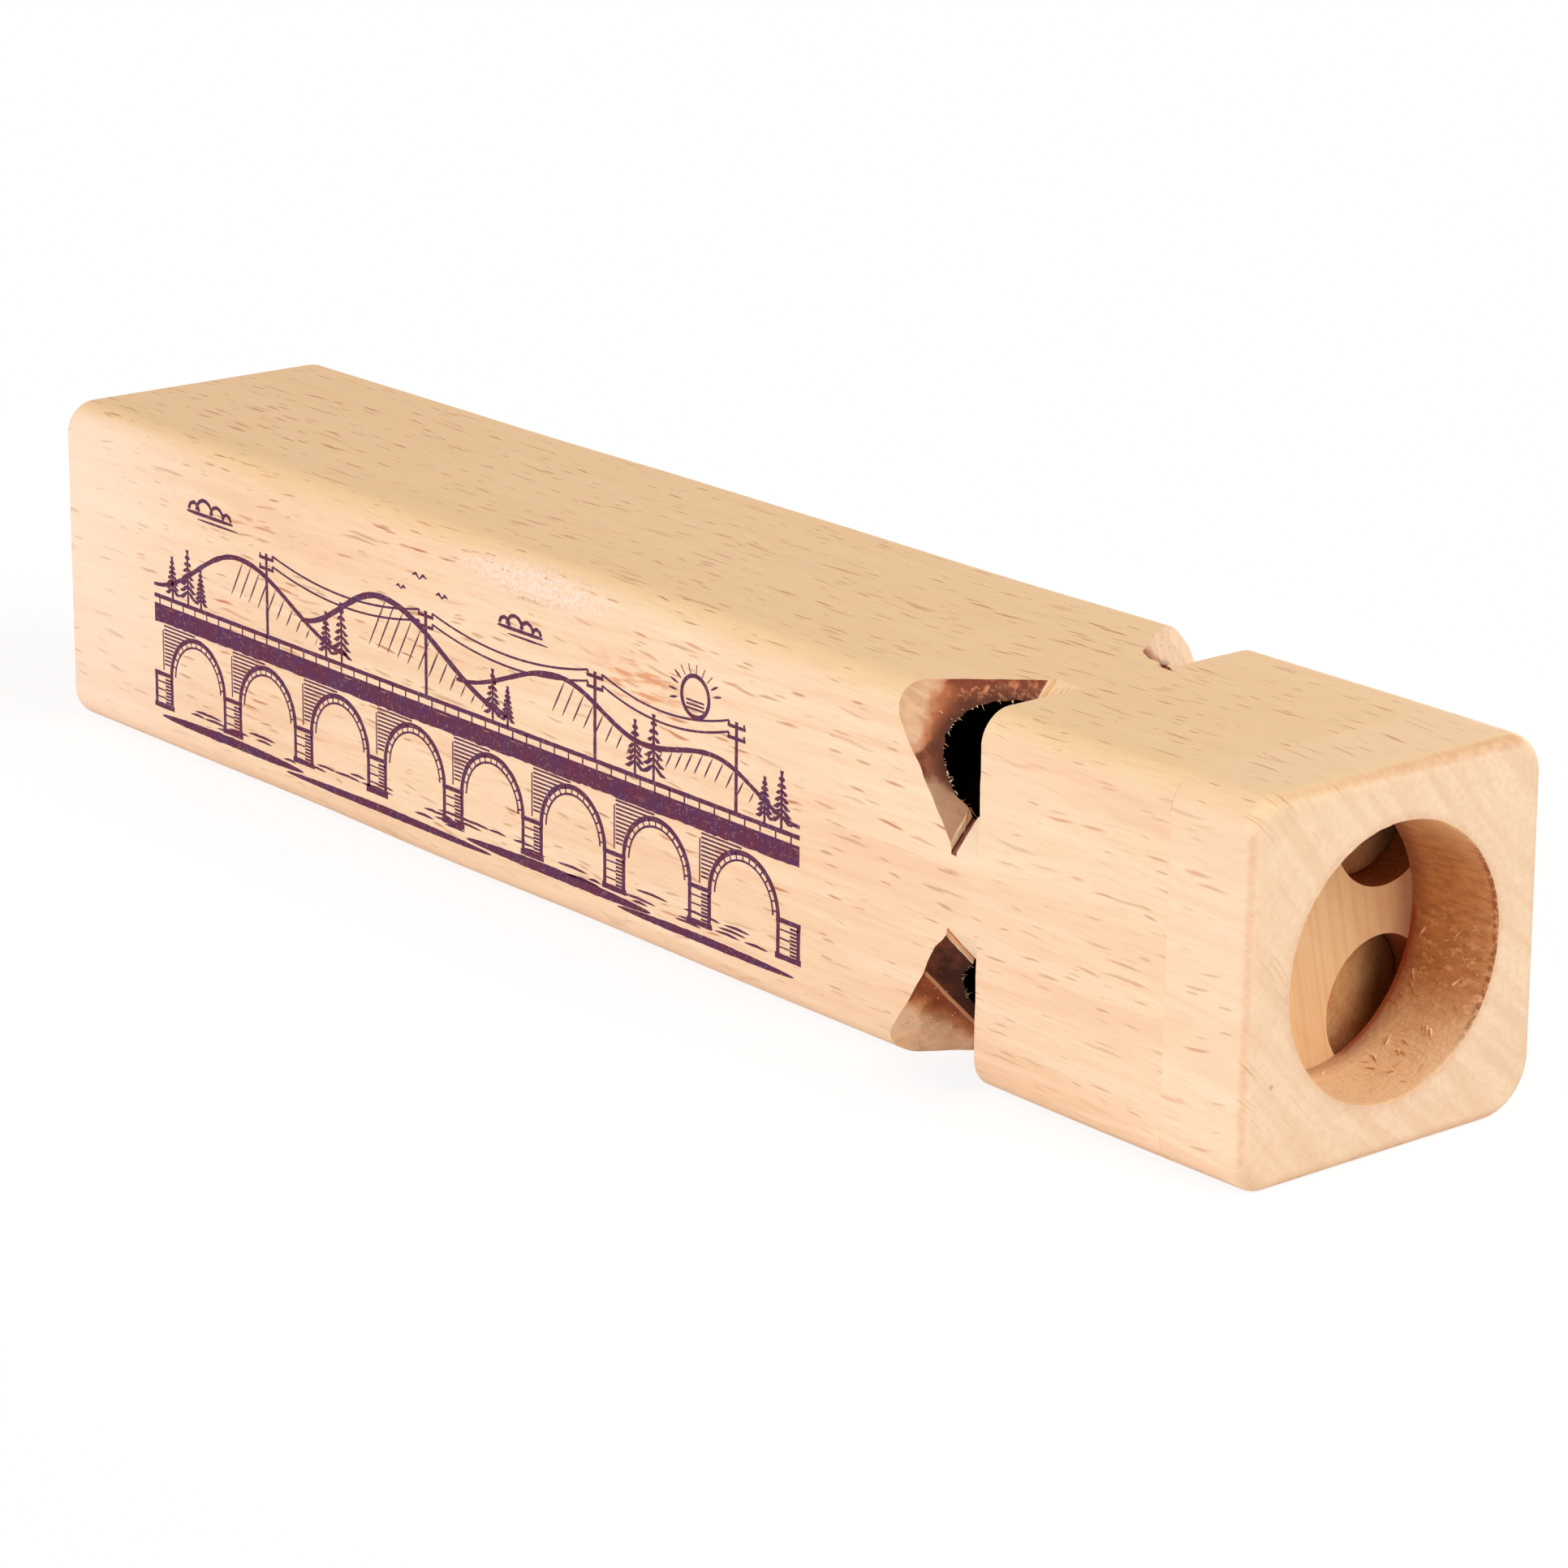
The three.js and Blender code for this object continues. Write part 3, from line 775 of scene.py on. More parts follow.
def fibre_beech():
    """Torn fibres and crumbs: bare pale wood, browner in patches, and warmer in the mouth hole."""
    s = Shading("beech_fibre")
    place = s.position()
    patches = s.noise(s.scaled(place, 0.8))
    colour = s.tones(patches, 0.42, 0.62, (244, 212, 172), (206, 152, 108))
    colour = s.tint(colour, (250, 196, 142), s.split(place)[0], SEAM_X, SEAM_X + 1.0, 0.0, 0.6)
    return s.finish(colour, 0.7, patches, 0.02, 0.3)


def split_beech():
    """The inside of a split: dark red-brown with an orange side."""
    s = Shading("beech_split")
    patches = s.noise(s.scaled(s.position(), 1.4))
    colour = s.tones(patches, 0.42, 0.6, (112, 46, 24), (202, 110, 66))
    return s.finish(colour, 0.7, patches, 0.02, 0.2)


def plum_ink():
    """Thin dark plum ink over the same beech, which shows through where the cover is worn."""
    s = Shading("plum_ink")
    place = s.position()
    colour, fibre = beech(s, place)
    speckle = s.noise(s.scaled(place, 3.4), 3.0, 0.65)
    clouds = s.noise(s.scaled(place, 0.6))
    ink = s.tones(clouds, 0.35, 0.65, (94, 31, 60), (82, 36, 74))
    worn = s.step(speckle, 0.54, 0.78, 0.02, 0.30)
    return s.finish(s.mix(worn, ink, colour), 0.7, fibre, 0.02, 0.12)


# How each notch is coloured. Pale, warm, dark and kerf are pairs of colours. The kerf pairs are partly burn
# and partly painted shade in the narrow slot, and front_bottom's pale pair is brighter than the wood, partly
# painted light on that downward-facing ramp. The lines are the (a, b) of notch_beech, soft the softness of
# the warm one's edge, and low the lowest v. The rest are strengths: of the painted highlight along the ridge,
# the char at the top, the smudges on pale wood and the mottle on brown.
# Partly painted shade: the kerf colours are darker than the burn alone, standing in for the shade in the
# narrow slot
RED_KERF = [(112, 48, 38), (150, 92, 70)]
ORANGE_KERF = [(214, 96, 54), (240, 150, 100)]
NOTCH_COLOURINGS = {
    "front_top": {
        "pale": [(226, 182, 142), (211, 164, 124)], "warm": [(190, 112, 68), (130, 68, 42)],
        "dark": [(156, 90, 60), (112, 60, 40)], "kerf": RED_KERF,
        "warm_line": (3.4, -0.16), "dark_line": (4.9, 0.2), "soft": 0.6, "low": -5.6,
        "line": 0.0, "top_char": 0.6, "smudge": 0.25, "mottle": 0.8,
    },
    "back_top": {
        "pale": [(247, 211, 176), (241, 203, 167)], "warm": [(206, 142, 98), (168, 102, 66)],
        "dark": [(128, 78, 52), (104, 60, 42)], "kerf": RED_KERF,
        "warm_line": (6.2, 0.0), "dark_line": (7.0, 0.0), "soft": 0.4, "low": -6.0,
        "line": 0.0, "top_char": 1.0, "smudge": 0.0, "mottle": 0.0,
    },
    "front_bottom": {
        # Partly painted light: this pale pair is brighter than the wood, standing in for the light on a ramp
        # that faces down
        "pale": [(255, 216, 172), (255, 202, 156)], "warm": [(220, 140, 88), (156, 78, 44)],
        "dark": [(106, 54, 34), (72, 38, 26)], "kerf": ORANGE_KERF,
        "warm_line": (5.0, 0.23), "dark_line": (6.65, 0.0), "soft": 0.8, "low": -20.0,
        "line": 0.9, "top_char": 1.0, "smudge": 0.15, "mottle": 0.0,
    },
    "back_bottom": {
        "pale": [(244, 200, 160), (222, 174, 134)], "warm": [(200, 132, 88), (150, 88, 56)],
        "dark": [(110, 66, 48), (80, 48, 38)], "kerf": RED_KERF,
        "warm_line": (4.6, 0.1), "dark_line": (5.7, 0.15), "soft": 0.6, "low": -6.5,
        "line": 0.4, "top_char": 0.7, "smudge": 0.3, "mottle": 0.3,
    },
}
BEECH_BODY = body_beech()
BEECH_CAP = cap_beech()
BEECH_NOTCHES = {name: notch_beech(name, EDGES[name], NOTCH_SHAPES[name], NOTCH_COLOURINGS[name]) for name in EDGES}
BEECH_PIPE = pipe_beech()
BEECH_MOUTH = mouth_beech()
BEECH_PLUG = plug_beech()
BEECH_FIBRE = fibre_beech()
BEECH_SPLIT = split_beech()
PLUM_INK = plum_ink()


# Rows along the stick and the cap, and sides of the drilled holes
BODY_ROWS = 80
CAP_ROWS = 6
PIPE_SIDES = 150
MOUTH_SIDES = 220

# Spacing along a pipe at its notch and along the mouth hole, and the hole's rounded rim
PIPE_PITCH = 0.3
MOUTH_PITCH = 0.35
MOUTH_RIM = 0.4


def pipe_profile(edge):
    """Stations and radius of one pipe bore from its blind end past the seam, closer together at the notch."""
    blind = WALL_X - edge["pipe"]
    notch_start, notch_end, mid_plug = WALL_X - 10.0, WALL_X + 1.0, 70.0
    stations = np.concatenate([
        np.linspace(blind, notch_start, 12)[:-1],
        np.arange(notch_start, notch_end, PIPE_PITCH),
        [mid_plug, SEAM_X + OVERRUN],
    ])
    return [(station, PIPE_RADIUS) for station in stations]


def pipe_roughness(seed):
    """Ragged wall of a drilled pipe: small noise everywhere, larger where it breaks into the notch."""
    def rough(station, angle):
        place = np.column_stack([np.full(len(angle), station), 6 * np.cos(angle), 6 * np.sin(angle)])
        ragged = 0.16 if WALL_X - 9.5 < station < WALL_X - 0.5 else 0.02
        return ragged * soft_noise(place, (0.7, 0.55, 0.55), seed)

    return rough


def whistle_body():
    """The stick behind the seam: its rounded bar with the four pipes, four notches and a split cut out."""
    along = np.linspace(TAIL_X + TAIL_EDGE_ROUND, SEAM_X - SEAM_CHAMFER, BODY_ROWS)
    rows = end_rows(TAIL_X, 1, TAIL_EDGE_ROUND)
    rows += [(station, 0.0) for station in along[1:]]
    rows.append((SEAM_X, SEAM_CHAMFER))
    piece = stick("whistle_body_wood", rows, BEECH_BODY, INK_PROUD)
    cutters = []
    for number, (name, edge) in enumerate(EDGES.items()):
        centre, rough = partial(pipe_axis, edge), pipe_roughness(60 + number)
        cutters.append(drill("pipe_" + name, pipe_profile(edge), centre, BEECH_PIPE, PIPE_SIDES, rough))
        cutters.append(notch_cutter(name, edge, NOTCH_SHAPES[name], BEECH_NOTCHES[name]))
    cutters.append(fissure_cutter())
    cut(piece, cutters)
    smooth(piece, SHARP_WOOD)
    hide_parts("whistle_body")
    return piece


def mouth_profile():
    """Stations and radius of the mouth hole, opening over its rounded rim."""
    stations = np.arange(SEAM_X - OVERRUN, MOUTH_X - MOUTH_RIM, MOUTH_PITCH)
    profile = [(station, MOUTH_RADIUS) for station in stations]
    for angle in np.linspace(0, math.pi / 2, 7):
        station = MOUTH_X - MOUTH_RIM * (1 - math.sin(angle))
        profile.append((station, MOUTH_RADIUS + MOUTH_RIM * (1 - math.cos(angle))))
    profile.append((MOUTH_X + OVERRUN, MOUTH_RADIUS + MOUTH_RIM + 0.5))
    return profile


def mouth_centre(station):
    """The mouth hole's axis, which is the stick's own."""
    return 0.0, AXIS_Z


def mouth_roughness(station, angle):
    """The drilled mouth wall: fine noise, and torn grain."""
    place = np.column_stack([np.full(len(angle), station), 12 * np.cos(angle), 12 * np.sin(angle)])
    return 0.04 * soft_noise(place, (1.2, 0.8, 0.8), 81) + 0.015 * soft_noise(place, (0.5, 0.4, 0.4), 82)


def mouthpiece_cap():
    """The block in front of the seam with the wide mouth hole."""
    along = np.linspace(SEAM_X + SEAM_CHAMFER, MOUTH_X - MOUTH_EDGE_ROUND, CAP_ROWS)
    rows = [(SEAM_X, SEAM_CHAMFER)]
    rows += [(station, 0.0) for station in along[:-1]]
    rows += end_rows(MOUTH_X, -1, MOUTH_EDGE_ROUND)[::-1]
    piece = stick("mouthpiece_cap_wood", rows, BEECH_CAP, 0.0, MOUTH_FACE_SKEW)
    hole = drill("mouth_hole", mouth_profile(), mouth_centre, BEECH_MOUTH, MOUTH_SIDES, mouth_roughness)
    cut(piece, [hole])
    smooth(piece, SHARP_WOOD)
    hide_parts("mouthpiece_cap")
    return piece


# The split in the top face: its two ends, its largest half width, how much deeper than wide it is and how
# far it sways from the straight line
SPLIT_START = np.array([52.2, 6.9, 2 * HALF + 0.10])
SPLIT_END = np.array([57.6, 4.4, 2 * HALF + 0.02])
SPLIT_HALF_WIDTH = 0.34
SPLIT_DEEPER = 1.5
SPLIT_SWAY = 0.25


def fissure_cutter():
    """A shallow split in the top face at the end of the back top notch: a spindle along a short line, whose
    half width goes as the sine of pi t^1.7 from end to end."""
    run = SPLIT_END - SPLIT_START
    upwards = np.array([0.0, 0.0, 1.0])
    across = np.cross(upwards, run)
    across /= np.linalg.norm(across)
    turn = np.linspace(0, 2 * math.pi, 12, endpoint=False)
    ring = np.outer(np.cos(turn), across) + np.outer(SPLIT_DEEPER * np.sin(turn), upwards)
    rows = []
    for share in np.linspace(0.02, 0.98, 22):
        half_width = SPLIT_HALF_WIDTH * math.sin(math.pi * share ** 1.7)
        sway = SPLIT_SWAY * math.sin(2 * math.pi * share)
        rows.append(SPLIT_START + run * share + across * sway + half_width * ring)
    return tube("cutter_fissure", rows, BEECH_SPLIT)


# The plugs' play in their pipes, and how deep into a pipe's circle a plug's flat is cut
PLUG_PLAY = 0.06
PLUG_FLAT_DEPTH = 1.2


def fipple_plug(name, edge):
    """One dowel with a flat on its outer side: its outline is a circle cut off by the flat, drawn in to the
    middle in rings over both end faces, which are rough from the saw."""
    radius = PIPE_RADIUS - PLUG_PLAY
    flat = PLUG_FLAT_DEPTH - PIPE_RADIUS
    turn = np.linspace(0, 2 * math.pi, 96, endpoint=False)
    outline = np.column_stack([radius * np.cos(turn), np.maximum(radius * np.sin(turn), flat)])
    inward = np.array([0.0, -edge["side"], -edge["level"]]) / math.sqrt(2)
    sideways = np.cross(inward, [1.0, 0.0, 0.0])
    rows = [(WALL_X, share) for share in np.linspace(0.05, 0.97, 9)]
    rows += [(station, 1.0) for station in np.linspace(WALL_X + 0.2, PLUG_FRONT_X - 0.2, 5)]
    rows += [(PLUG_FRONT_X, share) for share in np.linspace(0.97, 0.05, 12)]
    seed = 91 + list(EDGES).index(name)
    rings = []
    for station, share in rows:
        flatwise = outline * share
        length = np.full(len(flatwise), station)
        if share < 1:
            place = np.column_stack([flatwise, length])
            depth = 0.08 * soft_noise(place, (1.1, 1.1, 1.1), seed)
            depth += 0.05 * soft_noise(place, (0.45, 0.45, 0.45), seed + 9)
            inside = -1.0 if station == PLUG_FRONT_X else 1.0
            length = length + inside * np.abs(depth)
        ring = np.array([0.0, *pipe_axis(edge, station)]) + np.outer(flatwise[:, 0], sideways)
        rings.append(ring + np.outer(flatwise[:, 1], inward) + np.outer(length, [1, 0, 0]))
    piece = tube("plug_wood_" + name, rings, BEECH_PLUG)
    smooth(piece, SHARP_PLUG)
    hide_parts("fipple_plug_" + name)
    return piece


# A sliver's sides, and its rows as (way from base to tip, share of the full width)
SLIVER_SIDES = 3
SLIVER_TAPER = [(0.0, 1.0), (0.35, 0.8), (0.7, 0.45), (1.0, 0.06)]


def slivers(name, bases, directions, lengths, widths, bends, flatness):
    """Torn fibres in one mesh. Each is a spike whose centre runs from its base along its direction and
    bends off by the square of the way along, while its width tapers to a point."""
    count = len(bases)
    directions = directions / np.linalg.norm(directions, axis=1, keepdims=True)
    across = np.cross(directions, [0.31, 0.52, 0.79])
    across /= np.linalg.norm(across, axis=1, keepdims=True)
    upright = np.cross(directions, across)
    points = np.zeros((count, len(SLIVER_TAPER), SLIVER_SIDES, 3))
    for row, (way, share) in enumerate(SLIVER_TAPER):
        centre = bases + (directions * way + bends * way * way) * lengths[:, None]
        for side in range(SLIVER_SIDES):
            turn = side * 2 * math.pi / SLIVER_SIDES
            offset = across * math.cos(turn) + upright * math.sin(turn) * flatness
            points[:, row, side] = centre + offset * (widths * share)[:, None] / 2
    each = tube_faces(len(SLIVER_TAPER), SLIVER_SIDES)
    size = len(SLIVER_TAPER) * SLIVER_SIDES
    faces = [[corner + size * number for corner in face] for number in range(count) for face in each]
    piece = face_outwards(mesh_object(name, points.reshape(-1, 3), faces, BEECH_FIBRE))
    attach(piece, "root")


def rim_places(edge, shape, angles):
    """Places on the rim where a pipe breaks out through its notch's ramp, and their directions to the
    pipe's axis. An angle gives a point of the pipe's circle, counted from the way out to the corner, and
    its depth gives the station on the ramp."""
    corner, inward, sideways = notch_axes(edge, shape)
    centre = np.array([0.0, *pipe_axis(edge)])
    ring = centre + PIPE_RADIUS * (-np.outer(np.cos(angles), inward) + np.outer(np.sin(angles), sideways))
    depth = (ring - corner * [0, 1, 1]) @ inward
    ramp = np.array(shape["ramp"])
    places = ring.copy()
    places[:, 0] = WALL_X + np.interp(depth, ramp[:, 1], ramp[:, 0])
    on_ramp = (depth > ramp[0, 1] + 0.5) & (depth < ramp[-1, 1] - 0.1)
    return places[on_ramp], ((centre - ring) / PIPE_RADIUS)[on_ramp]


# Fibres and crumbs in each notch, and the first seed of either
FIBRE_COUNTS = {"front_top": 34, "back_top": 10, "front_bottom": 40, "back_bottom": 10}
FIBRE_SEED = 40
CRUMB_SEED = 50


def notch_fibres(name, edge, shape, count, seed):
    """Torn teeth and fibres round the rim of a pipe in its notch, reaching over the opening."""
    random = np.random.default_rng(seed)
    places, to_axis = rim_places(edge, shape, random.uniform(-1.9, 1.9, count * 2))
    places, to_axis = places[:count], to_axis[:count]
    amount = len(places)
    stray = random.normal(0, 0.4, (amount, 3))
    directions = to_axis * 0.9 + np.array([0.3, 0, 0]) + stray
    long_ones = random.random(amount) < 0.1
    lengths = random.uniform(0.16, 0.5, amount) * np.where(long_ones, 2.4, 1.0)
    widths = random.uniform(0.1, 0.26, amount) * np.where(long_ones, 0.6, 1.0)
    bends = random.normal(0, 0.3, (amount, 3))
    slivers("fibres_" + name, places - directions * 0.10, directions, lengths, widths, bends, 0.6)


def notch_crumbs(name, edge, shape, count, seed):
    """Crumbs of wood stuck to a notch's ramp: short stubby slivers scattered over it."""
    random = np.random.default_rng(seed)
    ramp = np.array(shape["ramp"])
    corner, inward, sideways = notch_axes(edge, shape)
    depth = random.uniform(2.5, ramp[-1, 1], count)
    across = random.uniform(-0.95, 0.95, count) * depth
    stations = np.interp(depth, ramp[:, 1], ramp[:, 0])
    places = corner + np.outer(stations, [1, 0, 0]) + np.outer(depth, inward) + np.outer(across, sideways)
    axis_y, axis_z = pipe_axis(edge)
    solid_wood = np.hypot(places[:, 1] - axis_y, places[:, 2] - axis_z) > PIPE_RADIUS + 0.25
    places = places[solid_wood & (places[:, 2] < 2 * HALF - 0.4)]
    amount = len(places)
    directions = random.normal(0, 1, (amount, 3))
    lengths = random.uniform(0.1, 0.26, amount) * np.where(random.random(amount) < 0.2, 1.8, 1.0)
    widths = random.uniform(0.08, 0.2, amount)
    slivers("crumbs_" + name, places, directions, lengths, widths, np.zeros((amount, 3)), 1.0)


def loose_strand():
    """One long curved fibre and two short ones that stand off the lower rim of the front top pipe."""
    edge, shape = EDGES["front_top"], NOTCH_SHAPES["front_top"]
    inward, sideways = notch_axes(edge, shape)[1:]
    places, to_axis = rim_places(edge, shape, np.linspace(-1.6, -0.3, 80))
    base = places[0] - to_axis[0] * 0.1 + [0.1, 0, 0]
    bases = np.array([base, base + 0.25 * sideways, base - 0.3 * sideways + 0.2 * inward])
    directions = np.outer([0.45, 0.8, 0.2], [1, 0, 0]) - np.outer([0.9, 0.5, 1.0], sideways)
    bends = np.outer([-0.2, 0.3, -0.1], inward) + [0.15, 0, 0]
    lengths, widths = np.array([2.6, 1.1, 1.6]), np.array([0.28, 0.2, 0.24])
    slivers("strand_front_top", bases, directions, lengths, widths, bends, 0.6)


def mouth_chips():
    """Torn chips on the lower wall of the mouth hole, lying along the wall."""
    random = np.random.default_rng(12)
    count = 48
    nothing = np.zeros(count)
    angle = np.radians(random.triangular(-100, -40, 10, count))
    station = random.uniform(SEAM_X + 1.0, MOUTH_X - 1.2, count)
    outward = np.column_stack([nothing, np.cos(angle), np.sin(angle)])
    along = np.column_stack([nothing, -np.sin(angle), np.cos(angle)])
    axis = np.column_stack([station, nothing, nothing + AXIS_Z])
    bases = axis + outward * (MOUTH_RADIUS - 0.02)
    lengthwise = random.uniform(-1, 1, count)
    directions = along * random.uniform(-1, 1, count)[:, None] - outward * 0.06
    directions[:, 0] += lengthwise
    lengths = random.uniform(0.4, 1.4, count)
    widths = random.uniform(0.2, 0.45, count)
    slivers("chips_mouth", bases, directions, lengths, widths, 0.06 * outward, 0.3)


def floor_strips():
    """Three pale strips of torn wood along the floor of the front top notch, at its upper end."""
    shape = NOTCH_SHAPES["front_top"]
    corner, inward, sideways = notch_axes(EDGES["front_top"], shape)
    on_floor = corner + inward * (shape["floor"] - 0.04)
    bases = np.array([on_floor + sideways * over + [station, 0, 0]
                      for over, station in [(5.6, -2.5), (6.2, -1.9), (6.0, -3.1)]])
    directions = np.array([sideways * 0.9 + [0.22, 0, 0] - 0.05 * inward] * 3)
    lengths, widths = np.array([2.0, 1.7, 1.2]), np.array([0.3, 0.22, 0.2])
    slivers("strips_front_top", bases, directions, lengths, widths, np.array([-0.05 * inward] * 3), 0.6)


# How much wider the ink lies than the line's own width, the spacing of points along a line and how ragged
# its sides are
INK_SPREAD = 1.35
INK_PITCH = 0.55
INK_RAGGED = 0.12


class LinePrint:
    """Line art printed on the front face, drawn in millimetres along and up the stick. Each line becomes
    a closed flat strip of ink whose top is the front plane; overlapping lines differ by a hair in height."""

    def __init__(self):
        self.points = []
        self.faces = []
        self.count = 0

    def line(self, path, width, taper=0.0):
        """One line through points, thinning towards both ends by the taper's share."""
        path = np.asarray(path, float)
        steps = np.linalg.norm(np.diff(path, axis=0), axis=1)
        way = np.concatenate([[0.0], np.cumsum(steps)])
        even = np.linspace(0, way[-1], max(2, int(way[-1] / INK_PITCH) + 1))
        samples = np.unique(np.concatenate([even, way]))
        run = np.column_stack([np.interp(samples, way, path[:, axis]) for axis in (0, 1)])
        heading = np.gradient(run, axis=0)
        heading /= np.maximum(np.linalg.norm(heading, axis=1, keepdims=True), 1e-9)
        normal = np.column_stack([-heading[:, 1], heading[:, 0]])
        share = samples / way[-1]
        thin = 1 - taper * (1 - np.sqrt(np.clip(np.sin(math.pi * share), 0, 1)))
        place = np.column_stack([run, np.full(len(run), self.count * 7.7)])
        ragged = 1 + INK_RAGGED * soft_noise(place, (0.5, 0.5, 1.0), 7)
        half = (INK_SPREAD * width / 2 * thin * ragged)[:, None]
        left = run + normal * half
        right = run - normal * half
        top = -HALF + 0.0012 * (self.count % 10)
        bottom = -HALF + INK_PROUD + 0.01
        rows = np.stack([
            np.column_stack([side[:, 0], np.full(len(run), level), side[:, 1]])
            for side, level in [(left, top), (right, top), (right, bottom), (left, bottom)]
        ], axis=1)
        offset = sum(len(part) for part in self.points)
        self.points.append(rows.reshape(-1, 3))
        self.faces += [[corner + offset for corner in face] for face in tube_faces(len(run), 4)]
        self.count += 1

    def level(self, left, right, height, width, taper=0.0):
        """One level line."""
        self.line([(left, height), (right, height)], width, taper)

    def upright(self, x, low, high, width):
        """One upright line."""
        self.line([(x, low), (x, high)], width)

    def arc(self, centre, radius, start, end, width):
        """Part of a circle, in degrees."""
        angle = np.radians(np.linspace(start, end, max(5, int(abs(end - start) * radius / 28))))
        around = np.column_stack([np.cos(angle), np.sin(angle)])
        self.line(np.asarray(centre) + radius * around, width)

    def hatch(self, left, right, low, high, pitch, width):
        """Level lines that fill a rectangle."""
        for height in np.arange(low, high, pitch):
            self.level(left, right, height, width)

    def curve(self, knots, width, taper=0.0):
        """A smooth line through knots: between neighbours the height follows half a cosine."""
        knots = np.asarray(knots, float)
        run = np.linspace(knots[0, 0], knots[-1, 0], int((knots[-1, 0] - knots[0, 0]) / 0.5) + 2)
        which = np.clip(np.searchsorted(knots[:, 0], run, side="right") - 1, 0, len(knots) - 2)
        share = (run - knots[which, 0]) / (knots[which + 1, 0] - knots[which, 0])
        share = (1 - np.cos(math.pi * share)) / 2
        heights = knots[which, 1] + (knots[which + 1, 1] - knots[which, 1]) * share
        self.line(np.column_stack([run, heights]), width, taper)
        return run, heights

    def finish(self):
        """Makes one object of the ink."""
        made = face_outwards(mesh_object("front_print", np.concatenate(self.points), self.faces, PLUM_INK))
        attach(made, "root")


# Where the print lies on the front face, and the viaduct's parts: the deck and the parapet's two rails
# above it, the ground behind it, the arches' springing, the piers' feet and their half width, and the arch
# ring's thickness
PRINT_LEFT = -73.0
PRINT_RIGHT = 32.6
DECK_Z = 15.4
DECK_THICK = 1.25
LOW_RAIL_Z = DECK_Z + 1.0
HIGH_RAIL_Z = DECK_Z + 2.0
GROUND_Z = DECK_Z + 2.1
SPRING_Z = 8.9
FOOT_Z = 5.4
ARCHES = 8
PIER_HALF = 1.45
ARCH_RING = 0.75
ARCH_PITCH = (PRINT_RIGHT - PRINT_LEFT - 2 * PIER_HALF) / ARCHES
ARCH_RADIUS = ARCH_PITCH / 2 - PIER_HALF


def pier(art, middle):
    """One pier on its foot, with its left half coursed and its right half hatched in shade."""
    left, right = middle - PIER_HALF, middle + PIER_HALF
    shade = middle + 0.25
    for side in (left, right):
        art.upright(side, FOOT_Z, SPRING_Z, 0.36)
    art.level(left - 0.3, right + 0.3, SPRING_Z, 0.34)
    art.level(left - 0.4, right + 0.4, FOOT_Z, 0.42)
    art.hatch(shade, right, FOOT_Z + 0.45, SPRING_Z - 0.2, 0.36, 0.17)
    art.hatch(left, shade, FOOT_Z + 0.9, SPRING_Z - 0.2, 0.85, 0.12)


def arch(art, middle):
    """The arch to the right of a pier, with its stones and the shaded wall over the pier."""
    centre_x = middle + PIER_HALF + ARCH_RADIUS
    centre = (centre_x, SPRING_Z)
    art.upright(middle, SPRING_Z + 0.5, DECK_Z - 1.6, 0.14)
    art.arc(centre, ARCH_RADIUS, 180, 0, 0.40)
    art.arc(centre, ARCH_RADIUS - ARCH_RING, 178, 2, 0.17)
    for spoke in range(8, 176, 12):
        way = np.array([math.cos(math.radians(spoke)), math.sin(math.radians(spoke))])
        art.line([centre + way * (ARCH_RADIUS - ARCH_RING), centre + way * ARCH_RADIUS], 0.13)
    for height in np.arange(SPRING_Z + 1.2, DECK_Z - 0.9, 0.42):
        reach = math.sqrt(max(ARCH_RADIUS ** 2 - (height - SPRING_Z) ** 2, 0.0)) + 0.35
        if centre_x - reach - middle > 0.5:
            art.level(middle + 0.2, centre_x - reach, height, 0.15)


def viaduct(art):
    """A stone viaduct: a solid deck with a parapet on round arches, whose piers stand in water."""
    for height, width in [(DECK_Z, DECK_THICK), (LOW_RAIL_Z, 0.26), (HIGH_RAIL_Z, 0.34)]:
        art.level(PRINT_LEFT, PRINT_RIGHT, height, width)
    for post in np.arange(PRINT_LEFT + 1.0, PRINT_RIGHT, 2.2):
        art.upright(post, LOW_RAIL_Z, HIGH_RAIL_Z, 0.16)
    for number in range(ARCHES + 1):
        middle = PRINT_LEFT + PIER_HALF + number * ARCH_PITCH
        pier(art, middle)
        if number < ARCHES:
            arch(art, middle)


# Ripples in the water: the heavy ones as (start, length, height, width), and the small ones' number and
# heights
HEAVY_RIPPLES = [(-72, 26, 4.3, 0.75), (-49, 35, 3.7, 0.62), (-18, 29, 4.4, 0.8), (6, 26, 3.8, 0.62)]
SMALL_RIPPLES = 46
SMALL_RIPPLE_HEIGHTS = [4.95, 5.3, 5.75, 6.2]


def ripple(art, start, length, height, rise, width):
    """One tapered stroke that rises a little in its middle."""
    art.line([(start, height), (start + length / 2, height + rise), (start + length, height)], width, 0.9)


def water(art):
    """Ripples under the arches: tapered level strokes, heavy at the foot of the picture."""
    random = np.random.default_rng(4)
    for start, length, height, width in HEAVY_RIPPLES:
        ripple(art, start, length, height, 0.12, width)
    for _ in range(SMALL_RIPPLES):
        start = random.uniform(PRINT_LEFT, PRINT_RIGHT - 5)
        length = random.uniform(2.0, 5.5)
        ripple(art, start, length, random.choice(SMALL_RIPPLE_HEIGHTS), 0.1, 0.2)


def hill(art, knots, width, slope_shade):
    """A hill's outline with slanting shade lines down its right flank, which shorten towards its foot."""
    run, heights = art.curve(knots, width, 0.35)
    top = int(np.argmax(heights))
    for x, height in list(zip(run, heights))[top + 2:-4:3]:
        drop = (height - (DECK_Z + 2.4)) * slope_shade
        if drop > 0.5:
            art.line([(x - 0.1, height - 0.3), (x - drop * 0.55, height - drop)], 0.15, 0.7)


